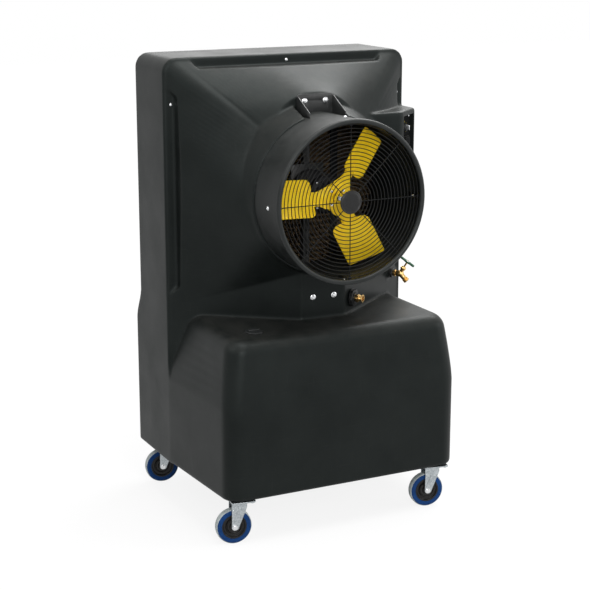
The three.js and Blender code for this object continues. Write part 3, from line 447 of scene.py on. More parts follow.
def makeSpangle():  # zinc crystals
    group, start, end = newGroup(
        "zincSpangle", [("Vector", "Vector", None), ("Scale", "Float", 160.0)],
        [("Tone", "Float"), ("Height", "Float")])
    cells = addNode(group, "TexVoronoi", Vector=start.outputs["Vector"], Scale=start.outputs["Scale"])
    split = addNode(group, "SeparateColor", Color=cells.outputs["Color"])
    group.links.new(split.outputs["Red"], end.inputs["Tone"])
    group.links.new(cells.outputs["Distance"], end.inputs["Height"])
    return group


shared = {"grain": makeGrain(), "dust": makeDust(), "scuffs": makeScuffs(), "spangle": makeSpangle()}


def placedGroup(tree, name, **values):
    node = tree.nodes.new("ShaderNodeGroup")
    node.node_tree = shared[name]
    for title, value in values.items():
        feed(tree, node.inputs[title], value)
    return node


def makeFinish(name, look):
    material = bpy.data.materials.new(name)
    material.use_nodes = True
    tree = material.node_tree
    shader = tree.nodes["Principled BSDF"]
    shader.inputs["Metallic"].default_value = look.get("metal", 0.0)
    shader.inputs["Specular IOR Level"].default_value = look.get("gloss", 0.5)
    shader.inputs["Specular Tint"].default_value = (*look.get("tint", (1.0, 1.0, 1.0)), 1)
    place = tree.nodes.new("ShaderNodeTexCoord")
    spot = place.outputs["Object"]
    grain = placedGroup(tree, "grain", Vector=spot, Fine=look.get("fine", 700.0),
                        Broad=look.get("broad", 9.0))
    tone, height = grain.outputs["Tone"], grain.outputs["Height"]
    if "spangle" in look:
        crystals = placedGroup(tree, "spangle", Vector=spot, Scale=look["spangle"])
        tone = crystals.outputs["Tone"]
    colour = blended(tree, tone, (*look["base"], 1), (*look["second"], 1))
    rough = mapped(tree, tone, 0.0, 1.0, look["rough"][0], look["rough"][1])
    if look.get("rub"):
        marks = placedGroup(tree, "scuffs", Vector=spot, Scale=look.get("rubScale", 1.0))
        worn = multiplied(tree, marks.outputs["Mask"], look["rub"])
        colour = blended(tree, worn, colour, (*look["worn"], 1))
    if look.get("dust"):
        fall = placedGroup(tree, "dust", Vector=spot, Normal=place.outputs["Normal"], Amount=look["dust"])
        colour = blended(tree, fall.outputs["Mask"], colour, (*look.get("dustColour", (0.32, 0.30, 0.27)), 1))
        extra = addNode(tree, "Math", {"operation": "ADD", "use_clamp": True})
        tree.links.new(rough, extra.inputs[0])
        tree.links.new(multiplied(tree, fall.outputs["Mask"], 0.5), extra.inputs[1])
        rough = extra.outputs["Value"]
    tree.links.new(colour, shader.inputs["Base Color"])
    tree.links.new(rough, shader.inputs["Roughness"])
    bump = addNode(tree, "Bump", Height=height)
    bump.inputs["Strength"].default_value = look.get("bump", 0.15)
    bump.inputs["Distance"].default_value = look.get("bumpSize", 0.0004)
    tree.links.new(bump.outputs["Normal"], shader.inputs["Normal"])
    return material


finishes = {
    "mouldedBlack": dict(base=(0.0050, 0.0062, 0.0059), second=(0.0080, 0.0096, 0.0091),
                         tint=(0.90, 1.0, 0.985), rough=(0.38, 0.48), gloss=0.13, fine=620.0, broad=5.0,
                         bump=0.22, rub=0.10, worn=(0.035, 0.037, 0.036), dust=0.05),
    "ductBlack": dict(base=(0.009, 0.0108, 0.0104), second=(0.015, 0.0172, 0.0168), rough=(0.32, 0.44),
                      gloss=0.22, fine=900.0, broad=12.0, bump=0.10, rub=0.12, worn=(0.05, 0.05, 0.05),
                      dust=0.05),
    "coatedSteel": dict(base=(0.012, 0.013, 0.013), second=(0.022, 0.023, 0.023), rough=(0.32, 0.48),
                        gloss=0.5, fine=1500.0, broad=25.0, bump=0.18, rub=0.25, worn=(0.12, 0.12, 0.12),
                        dust=0.08),
    "guardBlack": dict(base=(0.004, 0.0043, 0.0042), second=(0.007, 0.0074, 0.0073), rough=(0.34, 0.48),
                       gloss=0.16, fine=1400.0, broad=30.0, bump=0.12, rub=0.06, worn=(0.02, 0.02, 0.02)),
    "badgeBlack": dict(base=(0.006, 0.006, 0.006), second=(0.010, 0.010, 0.010), rough=(0.26, 0.36),
                       gloss=0.3, fine=2200.0, broad=60.0, bump=0.08, rub=0.10, worn=(0.06, 0.06, 0.06)),
    "motorBlack": dict(base=(0.010, 0.010, 0.011), second=(0.018, 0.018, 0.019), rough=(0.42, 0.55),
                       gloss=0.15, fine=1100.0, broad=30.0, bump=0.25, rub=0.1, worn=(0.06, 0.06, 0.06),
                       dust=0.06),
    "castAluminium": dict(base=(0.50, 0.51, 0.52), second=(0.62, 0.63, 0.64), rough=(0.32, 0.5), metal=1.0,
                          fine=1300.0, broad=50.0, bump=0.35, rub=0.3, worn=(0.75, 0.75, 0.75)),
    "bladeYellow": dict(base=(0.93, 0.60, 0.010), second=(0.98, 0.68, 0.018), rough=(0.34, 0.46), gloss=0.2,
                        fine=1200.0, broad=22.0, bump=0.10, rub=0.16, worn=(0.45, 0.28, 0.03)),
    "wetPaper": dict(base=(0.24, 0.165, 0.085), second=(0.40, 0.285, 0.160), rough=(0.75, 0.95), gloss=0.3,
                     fine=900.0, broad=30.0, bump=0.6, bumpSize=0.0008, rub=0.35, worn=(0.34, 0.26, 0.17)),
    "plateBlack": dict(base=(0.006, 0.0065, 0.0065), second=(0.010, 0.0105, 0.0105), rough=(0.6, 0.75),
                       gloss=0.01, fine=1500.0, broad=25.0, bump=0.18, rub=0.15, worn=(0.04, 0.04, 0.04),
                       dust=0.05),
    # painted shade: a near-black brown that stands in for the shaded depths inside the pad
    "padShadeCore": dict(base=(0.020, 0.015, 0.010), second=(0.035, 0.026, 0.018), rough=(0.85, 0.95), gloss=0.2,
                    fine=500.0, broad=40.0, bump=0.8),
    "pipeGrey": dict(base=(0.016, 0.017, 0.017), second=(0.024, 0.025, 0.025), rough=(0.35, 0.5), gloss=0.5,
                     fine=900.0, broad=20.0, bump=0.12, rub=0.15, worn=(0.06, 0.06, 0.06)),
    "hoseRubber": dict(base=(0.011, 0.011, 0.011), second=(0.020, 0.020, 0.020), rough=(0.45, 0.6), gloss=0.4,
                       fine=1500.0, broad=35.0, bump=0.25, rub=0.1, worn=(0.05, 0.05, 0.05)),
    "brass": dict(base=(0.58, 0.37, 0.13), second=(0.74, 0.52, 0.22), rough=(0.20, 0.38), metal=1.0,
                  fine=1800.0, broad=70.0, bump=0.18, rub=0.35, worn=(0.40, 0.24, 0.09)),
    "fittingBlack": dict(base=(0.009, 0.010, 0.010), second=(0.016, 0.017, 0.017), rough=(0.38, 0.5),
                         gloss=0.3, fine=1300.0, broad=40.0, bump=0.2, rub=0.15, worn=(0.06, 0.06, 0.06)),
    "brightSteel": dict(base=(0.60, 0.61, 0.62), second=(0.72, 0.73, 0.74), rough=(0.18, 0.34), metal=1.0,
                        fine=2400.0, broad=90.0, bump=0.15, rub=0.4, worn=(0.42, 0.43, 0.44)),
    "leverGreen": dict(base=(0.006, 0.055, 0.024), second=(0.012, 0.085, 0.038), rough=(0.38, 0.5),
                       gloss=0.35, fine=1500.0, broad=60.0, bump=0.15, rub=0.3, worn=(0.05, 0.22, 0.11)),
    "zincPlate": dict(base=(0.30, 0.33, 0.345), second=(0.48, 0.51, 0.525), rough=(0.26, 0.46), metal=1.0,
                      fine=1800.0, broad=60.0, spangle=210.0, bump=0.12, rub=0.35, worn=(0.25, 0.27, 0.28)),
    "coreBlack": dict(base=(0.005, 0.005, 0.005), second=(0.009, 0.009, 0.009), rough=(0.32, 0.45), gloss=0.3,
                      fine=1300.0, broad=40.0, bump=0.2, rub=0.1, worn=(0.03, 0.03, 0.03)),
    "tyreBlue": dict(base=(0.003, 0.030, 0.120), second=(0.006, 0.045, 0.165), rough=(0.45, 0.6), gloss=0.12,
                     fine=1500.0, broad=35.0, bump=0.25, rub=0.3, worn=(0.01, 0.05, 0.15)),
    "tyreTread": dict(base=(0.34, 0.38, 0.38), second=(0.48, 0.52, 0.52), rough=(0.6, 0.8), gloss=0.3,
                      fine=900.0, broad=40.0, bump=0.5, rub=0.5, worn=(0.22, 0.25, 0.25)),
    "dialYellow": dict(base=(0.75, 0.55, 0.06), second=(0.85, 0.64, 0.09), rough=(0.4, 0.5), gloss=0.4,
                       fine=2000.0, broad=80.0, bump=0.05),
}
finish = {name: makeFinish(name, look) for name, look in finishes.items()}


def painted(piece, *names):  # cut pieces can carry empty slots, so the old ones are cleared first
    piece.data.materials.clear()
    for name in names:
        piece.data.materials.append(finish[name])
    return piece


print("stage: finishes made")

# housing: one hollow moulding, rounded by remeshing its plain forms

housing = dict(
    wall=8.0, clearance=0.3, halfWidth=565.0, height=1930.0, underside=191.0, setback=54.0, rimDepth=375.0,
    cabinetCorner=60.0, tankDepth=927.0, tankFrontHalf=533.5, tankCorner=72.0, sideTop=575.0,
    deckHeight=856.0, deckFall=0.02, deckRound=52.0, deckRearHalf=482.0, deckFrontHalf=508.0,
    deckFrontDepth=893.0, shoulderLow=764.0, shoulderHigh=911.0, fanHeight=1387.0, collarRadius=346.0,
    collarTop=625.0, collarLow=710.0, chinHalf=110.0, rimInset=12.0, earHeight=1793.0, ductInside=305.0,
    ductBore=325.0, landWide=48.0, landLow=979.0, landHigh=1773.0, landHalf=418.0, landDrop=45.0,
    landSlant=60.0, voxel=5.5, rounding=8, faces=120000)
rimY = ahead(housing["rimDepth"])
fanZ = housing["fanHeight"]
fanY = joints["fan_spin"]["pos_m"][1] / mm


def cabinetOutline(inset, low, back, front, name="outline"):
    half, top = housing["halfWidth"] - inset, housing["height"] - inset
    corner = housing["cabinetCorner"] - inset
    corners = [(-half, low, 0), (half, low, 0), (half, top, corner), (-half, top, corner)]
    return slabY(name, roundedOutline(corners, 10), back, front)


def cabinetBlock(inset):
    low = housing["underside"] + inset
    front = cabinetOutline(inset, low, ahead(-10), rimY + inset, "cabinet")
    setback, shoulderLow, shoulderHigh = housing["setback"], housing["shoulderLow"], housing["shoulderHigh"]
    steps = 10
    curve = [
        (ahead(setback * easeStep(s / steps, 0, 1) + inset), mix(shoulderLow, shoulderHigh, s / steps))
        for s in range(steps + 1)]
    side = slabX("side", [(rimY + inset, low), (ahead(inset), low)] + curve + [
        (ahead(setback + inset), housing["height"] + 10), (rimY + inset, housing["height"] + 10)],
        -housing["halfWidth"] - 10, housing["halfWidth"] + 10)
    return combined(front, side, "INTERSECT")


def tankRing(level, sink, inset, edge):
    rearHalf = mix(housing["halfWidth"] - 0.2, housing["deckRearHalf"], sink) - inset - edge
    frontHalf = mix(housing["tankFrontHalf"], housing["deckFrontHalf"], sink) - inset - edge
    front = ahead(mix(housing["tankDepth"], housing["deckFrontDepth"], sink) - inset - edge)
    corner = housing["tankCorner"] - inset - edge * 0.6
    back = rimY + 35 - inset
    outline = roundedOutline([
        (rearHalf, back, 0), (-rearHalf, back, 0), (-rearHalf, rimY, 0), (-frontHalf, front, corner),
        (frontHalf, front, corner), (rearHalf, rimY, 0)], 12)
    middle = ahead((housing["rimDepth"] + housing["deckFrontDepth"]) / 2)
    return [(x, y, level + (y - middle) * sink * housing["deckFall"]) for x, y in outline]


def tankBlock(inset):
    low, deck = housing["underside"] + inset, housing["deckHeight"] - inset
    rings = [tankRing(low, 0, inset, 0)]
    if not inset:
        rings = [tankRing(low, 0, 0, 14), tankRing(low + 4, 0, 0, 4), tankRing(low + 14, 0, 0, 0)]
    sideTop = housing["sideTop"]
    rings.append(tankRing(sideTop, 0, inset, 0))
    roundStart = deck - housing["deckRound"]
    sinkAtRound = (roundStart - sideTop) / (deck - sideTop)
    for s in range(1, 6):  # the sides start to slope in gently
        share = s / 6
        rings.append(tankRing(mix(sideTop, roundStart, share), sinkAtRound * share ** 1.25, inset, 0))
    steps = 8
    for s in range(steps + 1):
        angle = s / steps * math.pi / 2
        level = roundStart + housing["deckRound"] * math.sin(angle)
        rings.append(tankRing(level, mix(sinkAtRound, 1, math.sin(angle)), inset,
                              housing["deckRound"] * (1 - math.cos(angle)) * 0.9))
    middle = ahead((housing["rimDepth"] + housing["tankDepth"]) / 2)
    return loftRings("tank", rings, (0, middle, low), (0, middle, deck))


def collarDepth(angle):  # distance of the collar edge from the tank back, round the fan axis
    fromTop = abs(math.pi / 2 - angle) / math.pi
    return mix(housing["collarTop"], housing["collarLow"], easeStep(fromTop, 0.1, 0.625))


def funnelHalf(inset):
    rim, collar = [], []
    side = inset * 1.2
    radius = housing["collarRadius"] - side
    chin = housing["chinHalf"] - inset * 1.65
    rimHalf = housing["halfWidth"] - housing["rimInset"] - side
    rimTop = housing["height"] - housing["rimInset"] - side
    rimCorner = housing["cabinetCorner"] - housing["rimInset"]
    chinAngle = math.asin(chin / radius) - math.pi / 2
    chinJoin = fanZ + radius * math.sin(chinAngle)
    for s in range(5):
        rim.append((rimHalf - inset * 0.45, mix(housing["sideTop"] - 20 + inset * 2, 880, s / 4)))
        collar.append((chin, mix(housing["deckHeight"] - 60 + inset * 2, chinJoin, s / 4),
                       housing["collarLow"]))
    ridge = math.pi / 4
    for s in range(1, 43):
        angle = mix(chinAngle, ridge, s / 42)
        rim.append((rimHalf, mix(880, rimTop - rimCorner, s / 42)))
        collar.append((radius * math.cos(angle), fanZ + radius * math.sin(angle), collarDepth(angle)))
    for s in range(1, 9):
        turn, angle = s / 8 * math.pi / 2, mix(ridge, ridge + 0.06, s / 8)
        rim.append((rimHalf - rimCorner + rimCorner * math.cos(turn),
                    rimTop - rimCorner + rimCorner * math.sin(turn)))
        collar.append((radius * math.cos(angle), fanZ + radius * math.sin(angle), collarDepth(angle)))
    ridgeX, ridgeZ = collar[-1][:2]
    for s in range(1, 25):  # over the bracket the collar edge runs out level, without a crease
        share = s / 24
        lift = 1 - (1 - share) ** 2.5
        rim.append((mix(rimHalf - rimCorner, 2, share), rimTop))
        collar.append((mix(ridgeX, 2, share), mix(ridgeZ, housing["earHeight"] - side, lift),
                       collarDepth(mix(ridge, math.pi / 2, share))))
    return rim, collar


def bothHalves(half):
    return half + [(-x, y, z) for x, y, z in reversed(half)]


def drawnIn(half, radius):
    turned = []
    for x, y, z in half:
        angle = math.atan2(z - fanZ, x)
        turned.append((radius * math.cos(angle), y, fanZ + radius * math.sin(angle)))
    return turned


def funnelForm(inset, reach):
    rim, collar = funnelHalf(inset)
    edge = 0 if inset else 7
    rings = [[(x, rimY + reach, z) for x, z in rim], [(x, rimY, z) for x, z in rim]]
    if inset:
        end = [(x, ahead(depth - inset), z) for x, z, depth in collar]
    else:
        rings.append([(x, ahead(depth - edge), z) for x, z, depth in collar])
        end = [(x, ahead(depth), z) for x, z, depth in funnelHalf(edge * 0.75)[1]]
    rings += [end, drawnIn(end, housing["ductInside"])]
    rings = [bothHalves(ring) for ring in rings]
    return loftRings("funnel", rings, (0, rimY + reach, fanZ), (0, ahead(housing["collarLow"] - inset), fanZ))


sleeve = dict(inner=308.0, back=560.0, front=735.0, openHalf=97.0, openBack=628.0, openLow=1640.0)


def sleeveForm():  # the moulding carries on round the duct, open at the top for the bracket
    inner, back, front = sleeve["inner"], sleeve["back"], sleeve["front"]
    flare = [(396, back), (376, 605), (359, 650), (346, 690), (337, 715), (331, front)]
    ring = spun("sleeve", [(inner, back)] + flare + [(inner, front)], (0, ahead(0), fanZ), (0, -1, 0), 160,
                closed=True)
    half, low = sleeve["openHalf"], sleeve["openLow"]
    opening = addBlock("opening", (-half, ahead(front + 25), low),
                       (half, ahead(sleeve["openBack"]), low + 160))
    return combined(ring, opening)


def landCuts(grow=0.0):  # notches that leave flat strips round the front of the rim
    front, back = rimY - 200, rimY + grow
    outer, inner = housing["halfWidth"] + 5, housing["halfWidth"] - housing["landWide"] - grow
    landLow, landHigh, slant = housing["landLow"] - grow, housing["landHigh"] + grow, housing["landSlant"]
    cuts = []
    for sign in (1, -1):
        cuts.append(slabY("land", [
            (sign * outer, landLow - slant), (sign * inner, landLow), (sign * inner, landHigh),
            (sign * outer, landHigh + slant)], back, front))
    high, low = housing["height"] + 5, housing["height"] - housing["landDrop"] - grow
    half = housing["landHalf"] + grow
    cuts.append(slabY("land", [(-half, low), (half, low), (half + 50, high), (-half - 50, high)], back,
                      front))
    return cuts


panel = dict(frontX=434.0, frontDepth=600.0, sideX=560.0, sideDepth=492.0, low=1460.0, high=1684.0,
             round=14.0, recess=22.0, rim=15.0)
panelRun = Vector((panel["sideX"] - panel["frontX"], panel["frontDepth"] - panel["sideDepth"], 0))
panelLength = panelRun.length
panelRun.normalize()
panelTurn = math.degrees(math.atan2(-panelRun.x, panelRun.y))
panelMiddle = Vector((panel["frontX"], ahead(panel["frontDepth"]), (panel["low"] + panel["high"]) / 2))
panelMiddle += panelRun * (panelLength / 2)
panelHigh = panel["high"] - panel["low"] - 2 * (panel["rim"] + panel["round"] / 2)
panelWide = panelLength - 2 * panel["rim"]
chinStart = Vector((housing["chinHalf"], ahead(housing["collarLow"]), 0))
chinRun = (Vector((housing["halfWidth"] - housing["rimInset"], rimY, 0)) - chinStart).normalized()
chinTurn = math.degrees(math.atan2(-chinRun.x, chinRun.y))
fittings = dict(drainAlong=58.0, drainHeight=920.0, inletAlong=442.0, inletHeight=950.0, capX=-350.0,
                capDepth=772.0)
drainPlace = chinStart + chinRun * fittings["drainAlong"] + Vector((0, 0, fittings["drainHeight"]))
inletPlace = chinStart + chinRun * fittings["inletAlong"] + Vector((0, 0, fittings["inletHeight"]))
deckTilt = math.degrees(math.atan(housing["deckFall"]))
capPlace = Vector((fittings["capX"], ahead(fittings["capDepth"]), 0))
capPlace.z = housing["deckHeight"] + (
    capPlace.y - ahead((housing["rimDepth"] + housing["deckFrontDepth"]) / 2)) * housing["deckFall"]


def settled(piece, turn, spot):  # a piece made along +X is turned about Z and set in its place
    return moved(piece, shiftBy(*spot) @ turnAbout("Z", turn))


def onPanel(piece):
    return settled(piece, panelTurn, panelMiddle)


def onInlet(piece):
    return settled(piece, chinTurn, inletPlace)


def onDrain(piece):
    return settled(piece, chinTurn, drainPlace)


def controlBlock(inset):
    back = rimY + (45 if inset else 20)
    block = slabZ("control", [
        (170 + inset, back), (170 + inset, ahead(panel["frontDepth"] - inset)),
        (panel["frontX"] - inset * 0.4, ahead(panel["frontDepth"] - inset)),
        (panel["sideX"] - inset, ahead(panel["sideDepth"] - inset * 0.4)), (panel["sideX"] - inset, back)],
        panel["low"] + inset, panel["high"] - inset)
    return block if inset else bevelled(block, 10, 4)


padBay = dict(low=893.0, high=1878.7, depth=84.0, ledgeInside=531.0, ledgeOutside=558.5, ledgeBack=62.0,
              ledgeFront=282.0, ledgeLow=877.0, ledgeHigh=904.7)
holeRadius = dict(cap=30.0, drain=19.0, inlet=13.0, bolt=4.0)
boltSpots = {"top_bolt": (48.5, 1757, ahead(628.3)), "neck_bolt": (49, 951, ahead(710))}  # x, height, row Y


def makeHousing():
    funnel = carved(funnelForm(0, 20), *landCuts())
    sides = landCuts()
    control = carved(controlBlock(0), sides[2])
    for spare in sides[:2]:
        bpy.data.objects.remove(spare)
    pad = onInlet(addRod("pad", (-40, 0, 0), (14, 0, 0), 27, 40))
    shell = joined("housing_shell", cabinetBlock(0), tankBlock(0), funnel, control, sleeveForm(), pad)
    remesh = shell.modifiers.new("round", "REMESH")
    remesh.mode = "VOXEL"
    remesh.voxel_size = housing["voxel"] * mm
    applyAll(shell)
    soften = shell.modifiers.new("soften", "SMOOTH")
    soften.factor = 0.5
    soften.iterations = housing["rounding"]
    applyAll(shell)
    print("stage: housing remeshed to", len(shell.data.polygons), "faces")
    thin = shell.modifiers.new("thin", "DECIMATE")
    thin.ratio = min(1.0, housing["faces"] / (2 * len(shell.data.polygons)))
    applyAll(shell)
    wall = housing["wall"]
    rear = combined(
        cabinetOutline(wall, padBay["low"], ahead(-20), ahead(padBay["depth"]), "rear"),
        addBlock("rearLimit", (-600, ahead(90), 800), (600, ahead(-30), padBay["high"])), "INTERSECT")
    carved(shell, cabinetBlock(wall), tankBlock(wall), carved(funnelForm(wall, 40), *landCuts(wall)), rear)
    cavity = carved(controlBlock(wall), onPanel(
        addBlock("keep", (-panel["recess"] - wall, -panelLength, -200), (10, panelLength, 200))))
    well = onPanel(bevelled(addBlock(
        "well", (-panel["recess"], -panelWide / 2, -panelHigh / 2), (40, panelWide / 2, panelHigh / 2)), 4,
        3))
    wellBack = onPanel(addBlock("wellBack", (-68, -panelWide / 2 + 14, -panelHigh / 2 + 14),
                                (0, panelWide / 2 - 14, panelHigh / 2 - 14)))
    loose = housing["clearance"]
    bore = addRod("bore", (0, ahead(530), fanZ), (0, ahead(770), fanZ), housing["ductBore"] + loose, 160)
    cap = addRod("capHole", (0, 0, -60), (0, 0, 40), holeRadius["cap"] + loose, 48)
    moved(cap, shiftBy(*capPlace) @ turnAbout("X", deckTilt))
    holes = [onDrain(addRod("hole", (-60, 0, 0), (40, 0, 0), holeRadius["drain"] + loose, 32)),
             onInlet(addRod("hole", (-80, 0, 0), (60, 0, 0), holeRadius["inlet"] + loose, 32)), cap]
    for sign in (-1, 1):
        for x, z, face in boltSpots.values():
            holes.append(addRod("hole", (sign * x, face - 30, z), (sign * x, face + 50, z),
                                holeRadius["bolt"] + loose, 16))
    carved(shell, cavity, well, wellBack, bore, *holes)
    for sign in (-1, 1):
        low = (sign * padBay["ledgeInside"], ahead(padBay["ledgeFront"]), padBay["ledgeLow"])
        high = (sign * padBay["ledgeOutside"], ahead(padBay["ledgeBack"]), padBay["ledgeHigh"])
        fused(shell, addBlock("ledge", low, high))
    return shell


housingShell = makeHousing()
print("stage: housing carved,", len(housingShell.data.polygons), "faces")
weighted = housingShell.modifiers.new("weighted", "WEIGHTED_NORMAL")
weighted.keep_sharp = True
finished(housingShell, "housing_shell", "cabinet", "moulded_shell", "housing",
         material=finish["mouldedBlack"], angle=40)


def panScrew(name, spot, way, radius=6.5, high=3.2):  # a domed screw head with a cross recess
    profile = [(0, high), (radius * 0.45, high * 0.95), (radius * 0.8, high * 0.7), (radius, high * 0.25),
               (radius, 0), (radius * 1.25, -0.1), (radius * 1.25, -0.6), (0, -0.6)]
    head = spun(name, profile, steps=28)
    for turn in (0, 90):
        slot = addBlock("slot", (-radius * 0.6, -0.7, high * 0.45), (radius * 0.6, 0.7, high + 2))
        combined(head, moved(slot, turnAbout("Z", turn + 20)))
    turn = Vector(way).to_track_quat("Z", "Y").to_matrix().to_4x4()
    return moved(head, shiftBy(*spot) @ turn)


rimScrews = [((-532, rimY, 1742), (0, -1, 0)), ((532, rimY, 1742), (0, -1, 0)),
             ((-6, rimY, 1903), (0, -1, 0)), ((-318, 358, 1930), (0, 0, 1)),
             ((391, 299, 1930), (0, 0, 1)), ((-391, 150, 1930), (0, 0, 1))]
screwPieces = [panScrew("screw", spot, way, high=3.0) for spot, way in rimScrews]
for piece, (spot, way) in zip(screwPieces, rimScrews):
    if way[2]:  # sunk so that the top of the cabinet stays the highest face
        moved(piece, shiftBy(0, 0, -3.2))
finished(joined("rim_screws", *screwPieces), "rim_screws", "cabinet", "bolt_steel",
         material=finish["brightSteel"])
print("stage: rim screws made")

# fan duct, its bracket, the guard and its badge

duct = dict(outer=325.0, inner=322.0, back=560.0, lip=334.0, opening=313.0, depth=962.0, steps=160)
beadRadius = (duct["lip"] - duct["opening"]) / 2
beadCentre = (duct["lip"] + duct["opening"]) / 2
beadAt = duct["depth"] - beadRadius
ductProfile = [(duct["inner"], duct["back"] - beadAt)]
for s in range(29):  # the rolled lip, seen in section
    angle = mix(-math.pi + 0.14, math.pi - 0.14, s / 28)
    ductProfile.append((beadCentre + beadRadius * math.sin(angle), beadRadius * math.cos(angle)))
ductProfile.append((duct["outer"], duct["back"] - beadAt))
shroud = spun("shroud_sheet", ductProfile, (0, ahead(beadAt), fanZ), (0, -1, 0), duct["steps"], closed=True)
finished(shroud, "shroud_sheet", "cabinet", "duct", "shroud", material=finish["ductBlack"])

ductScrews = []
for spot, inside in (((-325, -374, 1375), 0), ((47, -321, 1712), 0), ((326, -374, 1400), 0),
                     ((322, -404, 1380), 1), ((-7, -423, 1065), 1), ((-322, -404, 1394), 1),
                     ((7, -423, 1709), 1)):
    off = Vector((spot[0], 0, spot[2] - fanZ))
    way = off.normalized()
    reach = duct["inner"] - 2.6 if inside else duct["outer"] + 0.7
    place = (way.x * reach, spot[1], fanZ + way.z * reach)
    ductScrews.append(panScrew("screw", place, -way if inside else way, 7.5, 3.6))
finished(joined("duct_screws", *ductScrews), "duct_screws", "cabinet", "bolt_steel",
         material=finish["brightSteel"])

bracket = bevelled(copyOfNode("top_bracket", "top_bracket_sheet"), 1.0, 2, 40)
finished(bracket, "top_bracket_sheet", "cabinet", "black_steel", "top_bracket",
         material=finish["coatedSteel"])


def hexBolt(name, x, z, face):  # flanged hexagon bolt facing the front, with its shank through the wall
    flange = spun("flange", [(0, 2.4), (10.5, 2.4), (12.4, 1.4), (12.8, 0.6), (12.8, 0), (0, 0)], steps=36)
    head = bevelled(addRod("head", (0, 0, 1.6), (0, 0, 8.6), 9, 6), 1.0, 2)
    dish = spun("dish", [(0, 9.5), (4.6, 9.5), (5.6, 8.0), (0, 7.4)], steps=24)
    shank = addRod("shank", (0, 0, -20), (0, 0, 2), 3.9, 20)
    bolt = joined(name, fused(fused(flange, head), shank), dish)
    return moved(bolt, shiftBy(x, face - 0.3, z) @ turnAbout("X", 90))


for kind, (x, z, face) in boltSpots.items():
    for sign, side in ((-1, "left"), (1, "right")):
        bolt = hexBolt(f"{kind}_{side}_hex", sign * x, z, face)
        finished(bolt, f"{kind}_{side}_hex", "cabinet", "bolt_steel", f"{kind}_{side}",
                 material=finish["brightSteel"])
print("stage: duct and bolts made")

guard = dict(rings=17, radius=309.5, wire=1.75, depth=940.0, badge=49.0, spoke=1.5, spokes=8, straps=4,
             strapInside=305.0, strapOutside=321.2, strapHalf=7.0, strapThick=2.4, strapBack=851.0)
guardPitch = (guard["radius"] - guard["badge"] - 14) / (guard["rings"] - 1)
guardParts = []
for i in range(guard["rings"]):
    radius = guard["radius"] - i * guardPitch
    guardParts.append(addRing("ring", (0, ahead(guard["depth"]), fanZ), radius, guard["wire"],
                              144 if i < 9 else 96, 8))
spokeY = ahead(guard["depth"] - guard["wire"] - guard["spoke"] + 0.6)
for i in range(guard["spokes"]):
    angle = i * 2 * math.pi / guard["spokes"]
    near, far = guard["badge"] - 12, guard["radius"] + 1
    guardParts.append(addRod(
        "spoke", (near * math.cos(angle), spokeY, fanZ + near * math.sin(angle)),
        (far * math.cos(angle), spokeY, fanZ + far * math.sin(angle)), guard["spoke"] + 0.5, 10))
hubRing = spun("hubRing", [(33, -2.2), (33, 5), (45, 5), (45, -2.2)], (0, ahead(guard["depth"]), fanZ),
               (0, 1, 0), 64, True)
guardParts.append(hubRing)
inside, outside, half = guard["strapInside"], guard["strapOutside"], guard["strapHalf"]
strapFront = guard["depth"] + 1
for i in range(guard["straps"]):  # bent straps from the outer ring back along the duct wall
    strap = slabY("strap", [(inside, -half), (outside, -half), (outside, half), (inside, half)],
                  ahead(strapFront), ahead(strapFront - guard["strapThick"]))
    leg = addBlock("leg", (outside - 2.5, ahead(strapFront), -half),
                   (outside, ahead(guard["strapBack"]), half))
    strap = bevelled(fused(strap, leg), 0.8, 2)
    guardParts.append(moved(strap, shiftBy(0, 0, fanZ) @ turnAbout("Y", -i * 360 / guard["straps"])))
finished(joined("guard_wires", *guardParts), "guard_wires", "cabinet", "guard_wire", "guard",
         material=finish["guardBlack"], angle=50)

badgeFace = ahead(guard["depth"] + guard["wire"] + 0.3)
badge = spun("guard_badge_disc", [
    (0, 3.5), (30, 3.5), (40, 3.2), (41.5, 2.5), (43, 3.3), (45.5, 3.2), (47.4, 2.2), (48, 0.8), (48, 0),
    (0, 0)],
    (0, badgeFace, fanZ), (0, -1, 0), 96)
finished(badge, "guard_badge_disc", "cabinet", "badge", "guard_badge", material=finish["badgeBlack"],
         angle=30)
print("stage: guard made")

# fan

blade = dict(count=3, radius=302.0, root=112.0, chord=164.0, pitch=28.0, thick=3.0, sag=12.0, phase=58.0,
             corner=28.0)


def onFan(piece, angle):
    return moved(piece, shiftBy(0, fanY, fanZ) @ turnAbout("Y", -angle) @ turnAbout("X", 90 + blade["pitch"]))


def bladeForm(name):
    chord, sag, thick = blade["chord"], blade["sag"], blade["thick"]
    sagRadius = (chord * chord / 4 + sag * sag) / (2 * sag)
    half = math.asin(chord / 2 / sagRadius)
    lift = sagRadius * (1 + math.cos(half)) / 2
    arcs = []
    for radius in (sagRadius + thick / 2, sagRadius - thick / 2):
        arcs.append([(radius * math.sin(a), lift - radius * math.cos(a))
                     for a in [mix(-half, half, s / 24) for s in range(25)]])
    form = slabX(name, arcs[0] + arcs[1][::-1], blade["root"] - 10, blade["radius"] + 10)
    outline = slabZ("outline", roundedOutline([
        (blade["root"], -chord / 2 + 2, blade["corner"]), (blade["radius"] + 6, -chord / 2 + 2,
                                                           blade["corner"]),
        (blade["radius"] + 6, chord / 2 - 2, blade["corner"]),
        (blade["root"], chord / 2 - 2, blade["corner"])], 10),
        -60, 60)
    return combined(form, outline, "INTERSECT")


armTop = -blade["sag"] / 2 - blade["thick"] / 2 - 0.3


